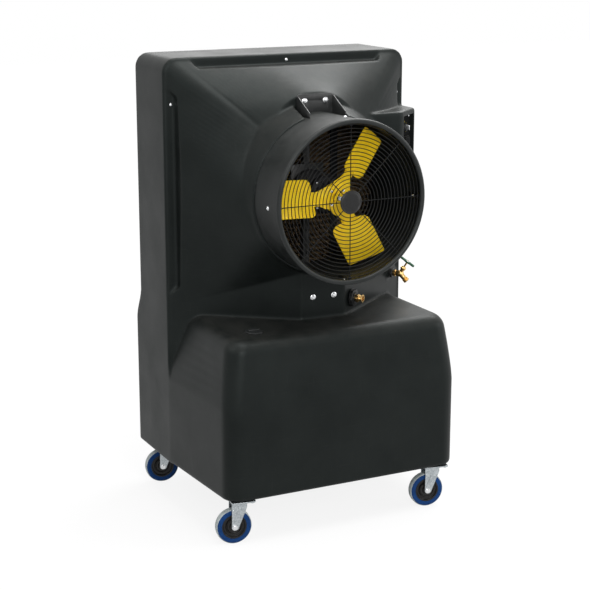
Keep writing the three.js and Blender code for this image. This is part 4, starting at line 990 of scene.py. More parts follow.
def armForm():  # a neck that twists from the hub plate into the plane of the blade and spreads under it
    rings = []
    stations = [  # reach, half width, share of the twist
        (30, 46, 0.0), (52, 45, 0.05), (66, 37, 0.25), (80, 31, 0.55), (94, 29, 0.85), (108, 31, 1.0),
                (122, 35, 1.0), (140, 37, 1.0), (147, 33, 1.0), (150, 24, 1.0)]
    for reach, half, share in stations:
        twist = math.radians(-blade["pitch"] * (1 - share))
        ring = []
        for u, v in ((-half, armTop - 4), (half, armTop - 4), (half, armTop), (-half, armTop)):
            ring.append((reach, u * math.cos(twist) - v * math.sin(twist),
                         u * math.sin(twist) + v * math.cos(twist)))
        rings.append(ring)
    return bevelled(loftRings("arm", rings, (30, 0, armTop - 2), (150, 0, armTop - 2)), 1.2, 2, 50)


fanDepth = 830.0  # tank back to the middle of the blades


def fanSpun(name, profile, steps=64):  # profile points are (radius, distance in front of the tank back)
    turned = [(radius, distance - fanDepth) for radius, distance in profile]
    return spun(name, turned, (0, fanY, fanZ), (0, -1, 0), steps)


spiderParts = []
for i in range(blade["count"]):
    angle = blade["phase"] + i * 360 / blade["count"]
    sheet = onFan(bladeForm("blade"), angle)
    sweep = addRod("sweep", (0, fanY - 90, fanZ), (0, fanY + 90, fanZ), blade["radius"], 128)
    combined(sheet, sweep, "INTERSECT")
    bevelled(sheet, 0.7, 2, 50)
    studs = []
    for u, v in ((124, -22), (124, 22), (141, 0)):
        top = -blade["sag"] / 2 + blade["thick"] / 2 + 0.2 + (v * v) / 620
        stud = spun("rivet", [(0, 3.0), (3.2, 2.6), (5.4, 1.4), (6.2, 0), (6.2, -1), (0, -1)], (u, v, top),
                    (0, 0, 1), 20)
        studs.append(onFan(stud, angle))
    finished(joined("blade", sheet, *studs), f"fan_blade_{i + 1}_sheet", "fan", "fan_yellow",
             f"fan_blade_{i + 1}", material=finish["bladeYellow"], angle=40)
    spiderParts.append(onFan(armForm(), angle))
hub = fanSpun("hub", [(0, 826), (38, 826), (50, 824), (57, 819), (60, 812), (60, 806), (0, 806)], 72)
boss = fanSpun("boss", [(0, 842), (9.8, 842), (17.5, 844), (20, 842), (21, 828), (23, 824), (23, 802),
                        (0, 802)], 48)
spiderBody = fused(fused(hub, *spiderParts), boss)
carved(spiderBody, addRod("shaftHole", (0, fanY - 40, fanZ), (0, fanY + 60, fanZ), 9.8, 32))
finished(spiderBody, "fan_spider_plate", "fan", "fan_yellow", "fan_spider", material=finish["bladeYellow"],
         angle=40)

shaft = fanSpun("shaft", [(0, 852), (8.2, 852), (9.5, 850.5), (9.5, 742), (0, 742)], 40)
for reach in (846.5, 843.2):
    groove = spun("groove", [(8.9, -0.5), (8.9, 0.5), (12, 0.5), (12, -0.5)], (0, ahead(reach), fanZ),
                  (0, -1, 0), 40, True)
    combined(shaft, groove)
bolts = []
hubScrews = dict(count=4, circle=38.0, depth=826.4)
for i in range(hubScrews["count"]):  # the screws that hold the hub plate on its boss
    angle = math.radians(45 + i * 360 / hubScrews["count"])
    reach = hubScrews["circle"]
    place = (reach * math.cos(angle), ahead(hubScrews["depth"]), fanZ + reach * math.sin(angle))
    bolts.append(moved(bevelled(addRod("hex", (0, 0, -1), (0, 0, 5), 6, 6), 0.8, 2),
                       shiftBy(*place) @ turnAbout("X", 90)))
finished(joined("fan_shaft_turned", shaft, *bolts), "fan_shaft_turned", "fan", "shaft_steel", "fan_shaft",
         material=finish["brightSteel"])
print("stage: fan made")

# motor, its post and the small parts behind the fan

motor = dict(ribs=9, firstRib=598.0, ribPitch=13.0, vents=12, ties=4, tieCircle=71.0, tieDepth=746.0)
motorProfile = [(0, 561.6), (30, 561.6), (33, 565), (60, 566), (72, 568), (79, 574), (79, 590), (76.5, 592)]
for i in range(motor["ribs"]):  # cooling ribs round the barrel
    reach = motor["firstRib"] + i * motor["ribPitch"]
    motorProfile += [(76.5, reach), (81.5, reach + 1.5), (81.5, reach + 4.5), (76.5, reach + 6)]
motorProfile += [(76.5, 722), (79.5, 724), (80, 731)]
barrel = fanSpun("barrel", motorProfile + [(0, 731)], 96)
bell = fanSpun("bell", [
    (0, 731.2), (80, 731.2), (80, 739), (76, 745), (66, 749), (50, 751.5), (34, 752), (31, 754), (26, 755),
    (24, 765), (11, 765), (10.2, 760), (0, 760)], 96)
vents = []
for i in range(motor["vents"]):
    angle = i * 360 / motor["vents"]
    vent = bevelled(addBlock("vent", (42, -3.2, -8), (66, 3.2, 30)), 1.5, 2)
    vents.append(moved(vent, shiftBy(0, ahead(752), fanZ) @ turnAbout("Y", -angle) @ turnAbout("X", 90)))
ties = []
for i in range(motor["ties"]):
    angle = math.radians(45 + i * 360 / motor["ties"])
    reach = motor["tieCircle"]
    place = (reach * math.cos(angle), ahead(motor["tieDepth"]), fanZ + reach * math.sin(angle))
    ties.append(moved(bevelled(addRod("tie", (0, 0, -2), (0, 0, 6), 5, 6), 0.7, 2),
                      shiftBy(*place) @ turnAbout("X", 90)))
carved(bell, *vents)
carved(bell, addRod("bore", (0, fanY, fanZ), (0, fanY + 110, fanZ), 9.8, 32))
finished(barrel, "motor_barrel", "cabinet", "motor_paint", "motor", material=finish["motorBlack"])
painted(bell, "motorBlack")
for tie in ties:
    painted(tie, "brightSteel")
finished(joined("motor_bell", bell, *ties), "motor_bell", "cabinet", "motor_paint")

post = bevelled(copyOfNode("motor_post", "motor_post_tube"), 0.9, 2, 50)
finished(post, "motor_post_tube", "cabinet", "black_steel", "motor_post", material=finish["coatedSteel"])
print("stage: motor made")

# cooling pads: thin waved sheets stacked side by side, their flutes crossing

pad = dict(count=4, pitch=11.2, wave=25.0, swing=5.4, sheet=0.8, reach=26.0, perWave=8)


def padRibbon(name, x, low, high, near, far, slope):  # one waved sheet between two depths
    count = int((high - low) / pad["wave"] * pad["perWave"])
    points, faces = [], []
    for s in range(count + 1):
        z = mix(low, high, s / count)
        for y in (near, far):
            phase = (z + slope * (y - near)) / pad["wave"] * 2 * math.pi
            points.append((x + pad["swing"] * math.sin(phase), y, z))
    for s in range(count):
        faces.append((2 * s, 2 * s + 1, 2 * s + 3, 2 * s + 2))
    sheet = fromPoints(name, points, [], faces)
    thicken = sheet.modifiers.new("sheet", "SOLIDIFY")
    thicken.thickness = pad["sheet"] * mm
    thicken.offset = 0
    applyAll(sheet)
    return sheet


padLow, padHigh = boxOf("pad_1")
front, back = padLow[1], padHigh[1]
width = padHigh[0] - padLow[0]
count = int((width - 2 * pad["swing"]) / pad["pitch"])
parts = []
for near, far in ((front, front + pad["reach"]), (back - pad["reach"], back)):
    for i in range(2):
        start = padLow[0] + pad["swing"] + 1.2 + i * pad["pitch"]
        ribbon = padRibbon("ribbon", start, padLow[2] + 1, padHigh[2] - 1, near, far, 1 if i else -1)
        stack = ribbon.modifiers.new("stack", "ARRAY")
        stack.use_relative_offset = False
        stack.use_constant_offset = True
        stack.constant_offset_displace = (2 * pad["pitch"] * mm, 0, 0)
        stack.count = (count - i + 2) // 2
        applyAll(ribbon)
        parts.append(ribbon)
sheets = joined("pad_sheets", *parts)
# the dark block between the front and back sheets is painted shade for the deep inside of the pad
core = addBlock("core", (padLow[0] + 2, front + pad["reach"] - 3, padLow[2] + 1),
                (padHigh[0] - 2, back - pad["reach"] + 3, padHigh[2] - 1))
bevelled(core, 2, 2)
painted(sheets, "wetPaper")
painted(core, "padShadeCore")
wholePad = joined("pad_whole", sheets, core)
print("stage: one pad made,", len(wholePad.data.polygons), "faces")
for i in range(1, pad["count"] + 1):
    shift = boxOf(f"pad_{i}")[0][0] - padLow[0]
    piece = twinOf(wholePad, f"pad_{i}_flutes", shiftBy(shift, 0, 0))
    finished(piece, f"pad_{i}_flutes", "cabinet", "pad_paper", f"pad_{i}", angle=30)
bpy.data.objects.remove(wholePad)

padFrame = bevelled(copyOfNode("pad_frame", "pad_frame_moulding"), 1.6, 2, 50)
finished(padFrame, "pad_frame_moulding", "cabinet", "pad_frame", "pad_frame", material=finish["fittingBlack"])

# water circuit inside

plumbing = dict(riserRadius=8.0, riserBend=24.0, bleedRadius=6.0, bleedBend=18.0, bleedLow=1400.0,
                bleedHigh=1650.0, bleedDepth=345.0, pumpSlits=16)
low, high = boxOf("header_pipe")
pipeY, pipeZ, pipeEnd = (low[1] + high[1]) / 2, (low[2] + high[2]) / 2, high[0]
pipeProfile = [(0, -pipeEnd), (15.4, -pipeEnd), (16, -pipeEnd + 1), (16, -pipeEnd + 24), (14, -pipeEnd + 26)]
pipeProfile += [(14, pipeEnd - 26), (16, pipeEnd - 24), (16, pipeEnd - 1), (15.4, pipeEnd), (0, pipeEnd)]
header = spun("header_pipe_tube", pipeProfile, (0, pipeY, pipeZ), (1, 0, 0), 48)
finished(header, "header_pipe_tube", "cabinet", "pipe", "header_pipe", material=finish["pipeGrey"])

low, high = boxOf("pump")
pumpX, pumpY = (low[0] + high[0]) / 2, (low[1] + high[1]) / 2
pumpBody = spun("pump_casing", [
    (0, low[2]), (44, low[2]), (46, low[2] + 2), (46, low[2] + 27), (43, low[2] + 30), (38, low[2] + 31),
    (38, low[2] + 96), (34, low[2] + 103), (22, low[2] + 106), (13, low[2] + 107), (11, low[2] + 110),
    (11, high[2] - 2), (10, high[2]), (0, high[2])], (pumpX, pumpY, 0), (0, 0, 1), 64)
slits = []
for i in range(plumbing["pumpSlits"]):
    slit = addBlock("slit", (41, -2, low[2] + 6), (50, 2, low[2] + 24))
    slits.append(moved(slit, shiftBy(pumpX, pumpY, 0) @ turnAbout("Z", i * 360 / plumbing["pumpSlits"])))
carved(pumpBody, *slits)
finished(pumpBody, "pump_casing", "cabinet", "pump_body", "pump", material=finish["pipeGrey"])


def bentPath(points, bend):  # rounds the inner points of a hose route
    path = [Vector(points[0])]
    for before, point, after in zip(points, points[1:], points[2:]):
        middle = Vector(point)
        start = middle + (Vector(before) - middle).normalized() * bend
        end = middle + (Vector(after) - middle).normalized() * bend
        for s in range(9):
            share = s / 8
            path.append(start * (1 - share) ** 2 + middle * 2 * share * (1 - share) + end * share ** 2)
    return path + [Vector(points[-1])]


hoseLow, hoseHigh = boxOf("riser_hose")
riserRoute = [(pumpX, pumpY, hoseLow[2]), (pumpX, pumpY, pipeZ), (pumpX, hoseHigh[1], pipeZ)]
riser = tubeAlong("riser_hose_tube", bentPath(riserRoute, plumbing["riserBend"]), plumbing["riserRadius"], 20)
finished(riser, "riser_hose_tube", "cabinet", "hose", "riser_hose", material=finish["hoseRubber"])
low, high = boxOf("bleed_hose")
bleedX = (low[0] + high[0]) / 2
bleedY, bleedTop, bleedBackY = low[1] + plumbing["bleedRadius"], low[2], ahead(plumbing["bleedDepth"])
bleedRoute = [
    (bleedX, bleedY, bleedTop), (bleedX, bleedY, plumbing["bleedLow"]),
    (bleedX, bleedBackY, plumbing["bleedHigh"]), (bleedX, bleedBackY, pipeZ), (bleedX, high[1], pipeZ)]
bleed = tubeAlong("bleed_hose_tube", bentPath(bleedRoute, plumbing["bleedBend"]), plumbing["bleedRadius"], 16)
finished(bleed, "bleed_hose_tube", "cabinet", "hose", "bleed_hose", material=finish["hoseRubber"])
bleedPlate = bevelled(copyOfNode("bleed_bracket", "bleed_bracket_plate"), 0.7, 2, 50)
finished(bleedPlate, "bleed_bracket_plate", "cabinet", "black_steel", "bleed_bracket",
         material=finish["brightSteel"])

bleedZ = boxOf("bleed_bracket")[0][2]


def threaded(start, end, radius, pitch=1.8, depth=0.8):  # a row of thread ridges as a profile
    profile, along = [], start
    while along < end - pitch:
        profile += [(radius - depth, along), (radius, along + pitch * 0.5)]
        along += pitch
    return profile + [(radius - depth, end)]


valveBody = spun("valve", [(0, -48), (6.5, -48), (8, -46), (8, -16), (6, -14)] + [(6, -0.4)]
                 + threaded(0.4, 11, 6, 1.6, 0.6) + [(5.4, 14), (0, 14)], (bleedX, bleedY, bleedZ), (0, 0, 1),
                 32)
nut = moved(bevelled(addRod("nut", (0, 0, -13.8), (0, 0, -0.6), 11, 6), 1.0, 2),
            shiftBy(bleedX, bleedY, bleedZ))
spout = spun("spout", [(0, 0), (5, 0), (5, 22), (7.6, 23), (9, 25), (9, 29), (8, 30), (0, 30)],
             (bleedX, bleedY, bleedZ - 30), (-1, 0, 0), 32)
finished(fused(valveBody, nut, spout), "bleed_valve_body", "cabinet", "brass_fitting", "bleed_valve",
         material=finish["brass"])
print("stage: water circuit made")

# water inlet, built along +X and set on the slanted face

bulkhead = spun("bulkhead", [
    (0, -34), (13, -34), (13, 14.2), (23.5, 14.2), (25, 14.8), (25, 16.2), (23.5, 16.8), (20, 16.8), (20, 26),
    (18.6, 27.2), (13, 27.2), (13, 28), (0, 28)], (0, 0, 0), (1, 0, 0), 48)
nut = bevelled(moved(addRod("nut", (0, 0, 16), (0, 0, 25.5), 23, 6), turnAbout("Y", 90)), 1.2, 3)
finished(onInlet(fused(bulkhead, nut)), "inlet_bulkhead_nut", "cabinet", "fitting_plastic", "inlet_bulkhead",
         material=finish["fittingBlack"])

inlet = dict(centre=60.0, tilt=31.0, leverSeat=62.0, outlet=-0.75)
stemWay = Vector((math.sin(math.radians(inlet["tilt"])), 0, math.cos(math.radians(inlet["tilt"]))))
outletWay = Vector((math.cos(inlet["outlet"]), 0, math.sin(inlet["outlet"])))
centre = Vector((inlet["centre"], 0, 0))
barrel = spun("barrel", [
    (0, 28.3), (11, 28.3), (11, 40), (12.2, 42), (12.4, 46), (14.4, 52), (15, 58), (14.2, 66), (11, 73),
    (6, 76), (0, 77)], (0, 0, 0), (1, 0, 0), 40)
collarNut = bevelled(moved(addRod("nut", (0, 0, 28.6), (0, 0, 40.3), 15, 6), turnAbout("Y", 90)), 1.0, 2)
neck = spun("neck", [(0, 4), (9, 4), (9, 22), (10.5, 24), (10.5, 34), (8, 36), (7, 38), (0, 38)], centre,
            stemWay, 36)
gland = bevelled(addRod("gland", (0, 0, 24), (0, 0, 34), 13, 6), 0.9, 2)
moved(gland, shiftBy(*centre) @ turnAbout("Y", inlet["tilt"]))
stem = spun("stem", [(0, 30), (4, 30), (4, 66), (3.4, 71), (0, 71)], centre, stemWay, 24)
outlet = spun("outlet", [(0, 2), (11, 2), (11, 28), (12.6, 29.5)] + threaded(30, 44.5, 14, 2.4, 1.1)
              + [(12.6, 46), (9.2, 46), (9.0, 34), (0, 34)], centre, outletWay, 40)
finished(onInlet(fused(barrel, collarNut, neck, gland, stem, outlet)), "inlet_valve_body", "cabinet",
         "brass_fitting",
         "inlet_valve", material=finish["brass"])

leverOutline = roundedOutline([
    (-37, -6, 5.5), (-14, -6, 8), (-8, -9, 6), (8, -9, 6), (14, -6, 8), (37, -6, 5.5), (37, 6, 5.5),
    (14, 6, 8), (8, 9, 6), (-8, 9, 6), (-14, 6, 8), (-37, 6, 5.5)], 5)
lever = bevelled(slabZ("lever", leverOutline, 0, 8), 1.2, 3, 50)
for sign in (-1, 1):  # finger hollows on top of each wing
    hollow = bevelled(addBlock("hollow", (sign * 12, -3, 6.4), (sign * 33, 3, 12)), 1.2, 2)
    combined(lever, hollow)
carved(lever, addRod("hole", (0, 0, -5), (0, 0, 15), 4.3, 24))
leverNut = spun("leverNut", [(4.6, 8.2), (8, 8.2), (8, 9.4), (7.4, 10), (4.6, 10)], (0, 0, 0), (0, 0, 1), 28,
                True)
leverSeat = centre + stemWay * inlet["leverSeat"]
painted(lever, "leverGreen")
painted(leverNut, "brightSteel")
lever = joined("lever", lever, leverNut)
moved(lever, shiftBy(*leverSeat) @ turnAbout("Y", inlet["tilt"]))
finished(onInlet(lever), "inlet_lever_wing", "inlet_handle", "lever_plastic", "inlet_lever")

floatBody = bevelled(copyOfNode("float_valve", "float_valve_body"), 0.5, 2, 60)
finished(floatBody, "float_valve_body", "cabinet", "brass_fitting", "float_valve", material=finish["brass"])
floatArm = dict(hinge=(-73, 0, -2), reach=(-207, 0, -210), rod=2.6, ball=50.0, socketAt=0.82)
hinge, reach = Vector(floatArm["hinge"]), Vector(floatArm["reach"])
socketPlace = hinge + reach * floatArm["socketAt"]
rod = tubeAlong("rod", [hinge, hinge + reach * 0.5, socketPlace], floatArm["rod"], 14)
ball = addBall("ball", hinge + reach, floatArm["ball"], 48, 28)
socket = spun("socket", [(0, 0), (7, 0), (7, 8), (5, 14), (0, 14)], socketPlace, -reach.normalized(), 24)
band = spun("band", [(48, -2), (50.6, -2), (50.6, 2), (48, 2)], hinge + reach, reach.normalized(), 64, True)
floatPiece = fused(ball, rod, socket, band)
finished(onInlet(floatPiece), "float_arm_ball", "float", "brass_fitting", "float_arm",
         material=finish["brass"])

# drain

nut = bevelled(moved(addRod("nut", (0, 0, 3), (0, 0, 14), 38.6, 6), turnAbout("Y", 90)), 1.6, 3)
bulkhead = spun("bulkhead", [
    (0, -30), (19, -30), (19, 0.3), (36, 0.3), (38, 1), (38, 3), (36, 3.6), (25, 3.6), (25, 17), (24, 18),
    (15.4, 18), (15.4, 14), (0, 14)], (0, 0, 0), (1, 0, 0), 56)
finished(onDrain(fused(bulkhead, nut)), "drain_bulkhead_nut", "cabinet", "fitting_plastic", "drain_bulkhead",
         material=finish["fittingBlack"])
fittingProfile = [(0, 18.3), (15, 18.3), (15, 21.5), (16, 22), (16, 30), (12.4, 31)]
fittingProfile += threaded(31.5, 42, 12.6, 2.0, 0.9)
fittingProfile += [(12, 43), (15.8, 45), (17, 46.5), (17, 49), (16, 50), (11.6, 50), (11, 47), (10, 36),
                   (0, 36)]
fitting = spun("fitting", fittingProfile, (0, 0, 0), (1, 0, 0), 48)
nut = bevelled(moved(addRod("nut", (0, 0, 22), (0, 0, 30), 19, 6), turnAbout("Y", 90)), 0.9, 2)
finished(onDrain(fused(fitting, nut)), "drain_fitting_body", "cabinet", "brass_fitting", "drain_fitting",
         material=finish["brass"])

# filler cap

capForm = spun("cap", [
    (0, -24), (28.5, -24), (30, -22.5), (30, 0.3), (37, 0.3), (37, 4), (36, 5.6), (34, 6.6), (31, 7),
    (29, 6.2), (26, 6), (0, 6)], (0, 0, 0), (0, 0, 1), 96)
notches = []
capNotches = 24
for i in range(capNotches):
    notch = addRod("notch", (37.6, 0, 1.4), (37.6, 0, 9), 1.5, 10)
    notches.append(moved(notch, turnAbout("Z", i * 360 / capNotches)))
carved(capForm, *notches)
bar = bevelled(addBlock("bar", (-25, -4, 4), (25, 4, 12)), 2.2, 3)
fused(capForm, bar)
moved(capForm, shiftBy(*capPlace) @ turnAbout("X", deckTilt))
finished(capForm, "filler_cap_disc", "cap", "cap_plastic", "filler_cap", material=finish["fittingBlack"],
         angle=30)
print("stage: fittings made")

# control panel: +X off the panel, +Y along it, +Z up

controls = dict(plateThick=3.0, knobAt=(-4, 35), switchAt=(-4, -63), screwY=52, screwZ=80, ticks=11,
                tickStart=-135, tickStep=27, lampAt=(36, 35), knobFlutes=18)
loose = housing["clearance"]
plateBack = -panel["recess"] + loose
plateFront = plateBack + controls["plateThick"]
knobAt, switchAt = controls["knobAt"], controls["switchAt"]
plate = addBlock("plate", (plateBack, -panelWide / 2 + loose, -panelHigh / 2 + loose),
                 (plateFront, panelWide / 2 - loose, panelHigh / 2 - loose))
bevelled(plate, 0.9, 2)
carved(plate, addRod("hole", (-60, *knobAt), (20, *knobAt), 4.3, 24),
       addBlock("hole", (-60, switchAt[0] - 10.3, switchAt[1] - 7.3),
                (20, switchAt[0] + 10.3, switchAt[1] + 7.3)))
painted(plate, "plateBlack")
plateExtras = []
for right, up in ((-1, -1), (1, -1), (-1, 1), (1, 1)):
    place = (plateFront + 0.6, right * controls["screwY"], up * controls["screwZ"])
    screw = panScrew("screw", place, (1, 0, 0), 4.2, 2.0)
    painted(screw, "brightSteel")
    plateExtras.append(screw)
for i in range(controls["ticks"]):  # scale ticks round the knob
    angle = controls["tickStart"] + controls["tickStep"] * i
    tick = addBlock("tick", (plateFront - 0.4, -0.7, 22), (plateFront + 0.35, 0.7, 25 if i % 5 else 28))
    painted(tick, "dialYellow")
    plateExtras.append(moved(tick, shiftBy(0, *knobAt) @ turnAbout("X", angle)))
lampBody = spun("lamp", [(0, 4.4), (3.2, 4.0), (5, 2.4), (5.4, 0.6), (7, 0.4), (7, -0.4), (0, -0.4)],
                (plateFront, *controls["lampAt"]), (1, 0, 0), 28)
painted(lampBody, "dialYellow")
finished(onPanel(joined("plate", plate, *plateExtras, lampBody)), "control_panel_plate", "cabinet",
         "black_steel",
         "control_panel")

knobForm = spun("knob", [
    (0, 12), (13.2, 12), (14.4, 11), (15.4, 6), (17, 2.6), (17, 0.6), (16.4, 0), (3.9, 0), (3.9, -14),
    (0, -14)], (plateFront + 0.3, *knobAt), (1, 0, 0), 72)
flutes = []
for i in range(controls["knobFlutes"]):
    flute = addRod("flute", (plateFront + 4, 0, 16.6), (plateFront + 20, 0, 15.4), 1.5, 10)
    turn = (i + 0.5) * 360 / controls["knobFlutes"]
    flutes.append(moved(flute, shiftBy(0, *knobAt) @ turnAbout("X", turn)))
carved(knobForm, *flutes)
grip = bevelled(addBlock("grip", (plateFront + 11, knobAt[0] - 2.6, knobAt[1] - 10),
                         (plateFront + 24, knobAt[0] + 2.6, knobAt[1] + 10)), 1.2, 3)
knobWhole = joined("knobWhole", painted(knobForm, "fittingBlack"), painted(grip, "castAluminium"))
finished(onPanel(knobWhole), "speed_knob_turned", "knob", "knob_metal", "speed_knob")

cover = bevelled(addBlock("cover", (plateFront + 0.3, -36, -48), (plateFront + 12, 30, -2)), 2.4, 3)
lid = bevelled(addBlock("lid", (plateFront + 10, -29, -43), (plateFront + 18.8, 23, -7)), 3.0, 3)
hingePin = addRod("hingePin", (plateFront + 12, -22, -5), (plateFront + 12, 16, -5), 2.6, 20)
tab = bevelled(addBlock("tab", (plateFront + 12, -9, -47), (plateFront + 16, 3, -41)), 1.2, 2)
finished(onPanel(fused(cover, lid, hingePin, tab)), "socket_cover_lid", "cabinet", "fitting_plastic",
         "socket_cover", material=finish["plateBlack"])

rockerOutline = [(-9, -6), (5, -6), (3.6, -3.4), (2.2, -0.4), (2, 3), (2, 6), (-9, 6)]
rocker = prism("rocker", [(plateFront + x, switchAt[0] - 10, switchAt[1] + z) for x, z in rockerOutline],
               (0, 20, 0))
bevelled(rocker, 0.7, 2, 40)
finished(onPanel(rocker), "pump_switch_rocker", "switch", "fitting_plastic", "pump_switch",
         material=finish["badgeBlack"], angle=40)
print("stage: panel made")

# swivel casters, made once with the swivel axis at the origin and +X as the rolling direction

caster = dict(trail=32.0, axle=74.358, plateLow=185.7, plateTop=190.7, turn=math.degrees(-0.17),
              plateHalfX=51.0, plateHalfY=57.0, boltX=38.0, boltY=43.0, treadRadius=71.6, treadHalf=15.6)


def casterPlateForm():
    halfX, halfY = caster["plateHalfX"], caster["plateHalfY"]
    corners = [(-halfX, -halfY, 10), (halfX, -halfY, 10), (halfX, halfY, 10), (-halfX, halfY, 10)]
    slab = slabZ("plate", roundedOutline(corners, 6), caster["plateLow"], caster["plateTop"])
    bevelled(slab, 0.8, 2, 50)
    race = spun("race", [
        (0, 187), (30, 187), (33, 186), (34, 183.5), (34, 181), (31, 179.1), (24, 179), (22, 180.4),
        (14, 180.4), (8, 179), (8, 173), (12, 173), (13, 172.4), (12, 171.4), (0, 171.4)], steps=64)
    heads = []
    for alongX, alongY in ((1, 1), (-1, 1), (1, -1), (-1, -1)):
        x, y = alongX * caster["boltX"], alongY * caster["boltY"]
        heads.append(bevelled(addRod("head", (x, y, 180.6), (x, y, 186.4), 8, 6), 0.8, 2))
        heads.append(spun("washer", [(0, 184.4), (10.4, 184.4), (10.4, 186.2), (0, 186.2)], (x, y, 0),
                          (0, 0, 1), 28))
    return joined("plateForm", fused(slab, race), *heads)


def casterForkForm():
    crown = spun("crown", [
        (8.8, 174.7), (30, 174.7), (33.4, 173.6), (35.4, 173.6), (36, 174.6), (36, 176.6), (34.6, 178.2),
        (31, 178.7), (8.8, 178.7)], steps=64, closed=True)
    bridge = addBlock("bridge", (-44, -28, 174.7), (20, 28, 178.7))
    bevelled(bridge, 2.4, 3, 60)
    form = fused(crown, bridge)
    trail, axle = caster["trail"], caster["axle"]
    for sign in (-1, 1):
        outline = roundedOutline([
            (-trail - 13, axle - 13, 12.9), (-trail + 13, axle - 13, 12.9), (16, 148, 26), (20, 160, 8),
            (20, 178.6, 0), (-44, 178.6, 0), (-44, 140, 30)], 8)
        leg = bevelled(slabY("leg", outline, sign * 24, sign * 28), 1.2, 3, 50)
        rib = bevelled(slabY("rib", roundedOutline([
            (-trail - 4, axle + 24, 3.9), (-trail + 4, axle + 24, 3.9), (-2, 160, 4), (-14, 160, 4)], 5),
            sign * 27, sign * 29.6), 1.4, 3, 50)
        dimple = spun("dimple", [(0, 28.9), (3.2, 28.6), (5, 27.4), (0, 27)], (-38, 0, 146), (0, sign, 0), 24)
        form = fused(form, leg, rib, dimple)
    carved(form, addRod("kingHole", (0, 0, 160), (0, 0, 190), 8.5, 32),
           addRod("axleHole", (-trail, -40, axle), (-trail, 40, axle), 6.4, 32))
    return form


def spunOnAxle(name, profile, steps=96, closed=False):  # profile points are (radius, y)
    return spun(name, profile, (-caster["trail"], 0, caster["axle"]), (0, 1, 0), steps, closed)


def casterCoreForm():
    half = [(6.3, 23.5), (15, 23.5), (17.5, 22), (18.5, 17), (20, 12.5), (27, 11.5), (29, 12.5), (31, 15.5),
            (33, 16), (35, 13), (36, 9.5), (43, 9.5), (45, 11), (46, 17), (47.5, 18.5), (51.4, 18.3),
            (51.7, 17)]
    return spunOnAxle("core", half + [(r, -y) for r, y in reversed(half)], 96, True)


def casterTyreForm():
    half = [(52.3, 18), (56, 18.6), (58, 18.2), (59, 18.8), (64, 19), (68, 18.3), (71, 16.6), (73.2, 14.2),
            (74.2, 12.2), (74.4, 11.2), (73.6, 10.6), (74.6, 10.0), (75, 6.6), (74.3, 5.8), (75, 5.0)]
    tyre = spunOnAxle("tyre", half + [(r, -y) for r, y in reversed(half)], 128, True)
    painted(tyre, "tyreBlue", "tyreTread")
    middle = Vector((-caster["trail"], 0, caster["axle"])) * mm
    for face in tyre.data.polygons:
        off = face.center - middle
        if math.hypot(off.x, off.z) > caster["treadRadius"] * mm and abs(off.y) < caster["treadHalf"] * mm:
            face.material_index = 1
    return tyre


def casterAxleForm():
    rod = spunOnAxle("axle", [(0, -29), (6, -29), (6, 29), (0, 29)], 28)
    parts = [rod]
    for sign in (-1, 1):
        near, far = sign * 28.3, sign * 29.8
        washer = spunOnAxle("washer", [(0, near), (11.5, near), (11.5, far), (0, far)], 36)
        inner, outer = [(-caster["trail"], sign * reach, caster["axle"]) for reach in (29, 33)]
        hexagon = addRod("hex", inner, outer, 9.6, 6)
        parts += [washer, bevelled(hexagon, 0.9, 2)]
    return fused(*parts)


casterForms = {
    "plate": (casterPlateForm(), "cabinet", "caster_zinc", "zincPlate"),
    "fork": (casterForkForm(), "caster", "caster_zinc", "zincPlate"),
    "axle": (casterAxleForm(), "wheel", "axle_steel", "brightSteel"),
    "core": (casterCoreForm(), "wheel", "wheel_core", "coreBlack"),
    "tyre": (casterTyreForm(), "wheel", "wheel_tyre", None)}
for corner in ("fl", "fr", "rl", "rr"):
    x, y = (value / mm for value in joints[f"swivel_{corner}"]["pos_m"][:2])
    place = shiftBy(x, y, 0) @ turnAbout("Z", caster["turn"])
    for part, (form, body, slot, look) in casterForms.items():
        owner = body if body == "cabinet" else f"{body}_{corner}"
        name = f"caster_{corner}_{part}_made"
        finished(twinOf(form, name, place), name, owner, slot, f"caster_{corner}_{part}",
                 material=finish[look] if look else None, angle=30)
for entry in casterForms.values():
    bpy.data.objects.remove(entry[0])
print("stage: casters made")

# floor, light and camera

shot = dict(place=(-2.845, -5.6505, 2.483), down=14.01, turn=-26.58, lens=92.25,
            sensor=36)  # metres and degrees
camera = bpy.data.objects.new("camera", bpy.data.cameras.new("camera"))
bpy.context.scene.collection.objects.link(camera)
camera.location = shot["place"]
camera.rotation_euler = (math.radians(90 - shot["down"]), 0, math.radians(shot["turn"]))
camera.data.lens = shot["lens"]
camera.data.sensor_width = shot["sensor"]
bpy.context.scene.camera = camera


def anyRay(tree, path):  # 1 for what the camera sees directly, by reflection or through glass
    seen = path.outputs["Is Camera Ray"]
    for kind in ("Is Transmission Ray", "Is Glossy Ray"):
        most = addNode(tree, "Math", {"operation": "MAXIMUM"})
        tree.links.new(seen, most.inputs[0])
        tree.links.new(path.outputs[kind], most.inputs[1])
        seen = most.outputs["Value"]
    return seen


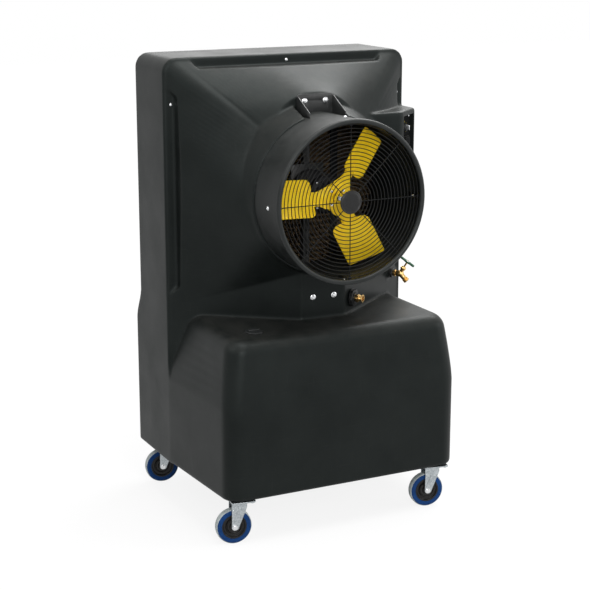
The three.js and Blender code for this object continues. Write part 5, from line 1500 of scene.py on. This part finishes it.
stage = dict(floorSize=40, floorTone=0.8, floorGlow=1.03, nearWhite=0.84, whiteFrom=0.9, whiteTo=3.2,
             ambient=0.2, backdrop=1.0)
floorLook = bpy.data.materials.new("paleFloor")
floorLook.use_nodes = True
floorTree = floorLook.node_tree
floorShader = floorTree.nodes["Principled BSDF"]
floorShader.inputs["Base Color"].default_value = (stage["floorTone"],) * 3 + (1,)
floorShader.inputs["Roughness"].default_value = 0.9
floorShader.inputs["Specular IOR Level"].default_value = 0.1
floorPath = addNode(floorTree, "LightPath")
floorGlow = addNode(floorTree, "Emission", Color=(1, 1, 1, 1), Strength=stage["floorGlow"])
floorPlace = addNode(floorTree, "TexCoord")
floorFar = addNode(floorTree, "VectorMath", {"operation": "LENGTH"})
floorTree.links.new(floorPlace.outputs["Object"], floorFar.inputs[0])
floorWhite = mapped(floorTree, floorFar.outputs["Value"], stage["whiteFrom"], stage["whiteTo"],
                    stage["nearWhite"], 1.0)  # pure white further out
floorMix = addNode(floorTree, "MixShader")
floorTree.links.new(multiplied(floorTree, anyRay(floorTree, floorPath), floorWhite), floorMix.inputs[0])
floorTree.links.new(floorShader.outputs[0], floorMix.inputs[1])
floorTree.links.new(floorGlow.outputs[0], floorMix.inputs[2])
floorTree.links.new(floorMix.outputs[0], floorTree.nodes["Material Output"].inputs["Surface"])
deselectAll()
bpy.ops.mesh.primitive_plane_add(size=stage["floorSize"], location=(0, 0, 0))
floor = bpy.context.object
floor.name = "floor"
floor.data.materials.append(floorLook)

world = bpy.data.worlds.new("studio")
bpy.context.scene.world = world
world.use_nodes = True
worldTree = world.node_tree
path = addNode(worldTree, "LightPath")
ambient = worldTree.nodes["Background"]
ambient.inputs["Color"].default_value = (1, 1, 1, 1)
ambient.inputs["Strength"].default_value = stage["ambient"]
backdrop = addNode(worldTree, "Background", Color=(1, 1, 1, 1), Strength=stage["backdrop"])
worldMix = addNode(worldTree, "MixShader")
worldTree.links.new(anyRay(worldTree, path), worldMix.inputs[0])
worldTree.links.new(ambient.outputs[0], worldMix.inputs[1])
worldTree.links.new(backdrop.outputs[0], worldMix.inputs[2])
worldTree.links.new(worldMix.outputs[0], worldTree.nodes["World Output"].inputs["Surface"])


def addLamp(name, spot, aim, size, power):
    lamp = bpy.data.objects.new(name, bpy.data.lights.new(name, "AREA"))
    bpy.context.scene.collection.objects.link(lamp)
    lamp.data.shape = "RECTANGLE"
    lamp.data.size, lamp.data.size_y = size
    lamp.data.energy = power
    lamp.location = spot
    lamp.rotation_euler = (Vector(aim) - Vector(spot)).to_track_quat("-Z", "Y").to_euler()


lamps = {  # place, aim and size in metres, power in watts
    "front": dict(spot=(-1.4, -6.4, 3.4), aim=(0, 0, 1.0), size=(3.0, 2.4), power=200),
    "left": dict(spot=(-3.8, -0.6, 4.2), aim=(0, 0, 1.3), size=(2.6, 2.6), power=58),
    "overhead": dict(spot=(0.4, -0.9, 5.2), aim=(0, 0, 1.2), size=(3.2, 3.2), power=200),
    "upperRight": dict(spot=(2.6, 1.8, 4.6), aim=(0, 0, 1.4), size=(2.6, 2.6), power=150),
    "behind": dict(spot=(2.0, 4.0, 3.4), aim=(0, 0, 1.4), size=(3.2, 1.8), power=30),
    "right": dict(spot=(4.2, -2.6, 2.2), aim=(0, 0, 1.0), size=(2.4, 2.4), power=60)}
for name, lamp in lamps.items():
    addLamp(name, **lamp)
print("stage: lights and floor set")

bpy.context.scene.view_settings.view_transform = "Standard"
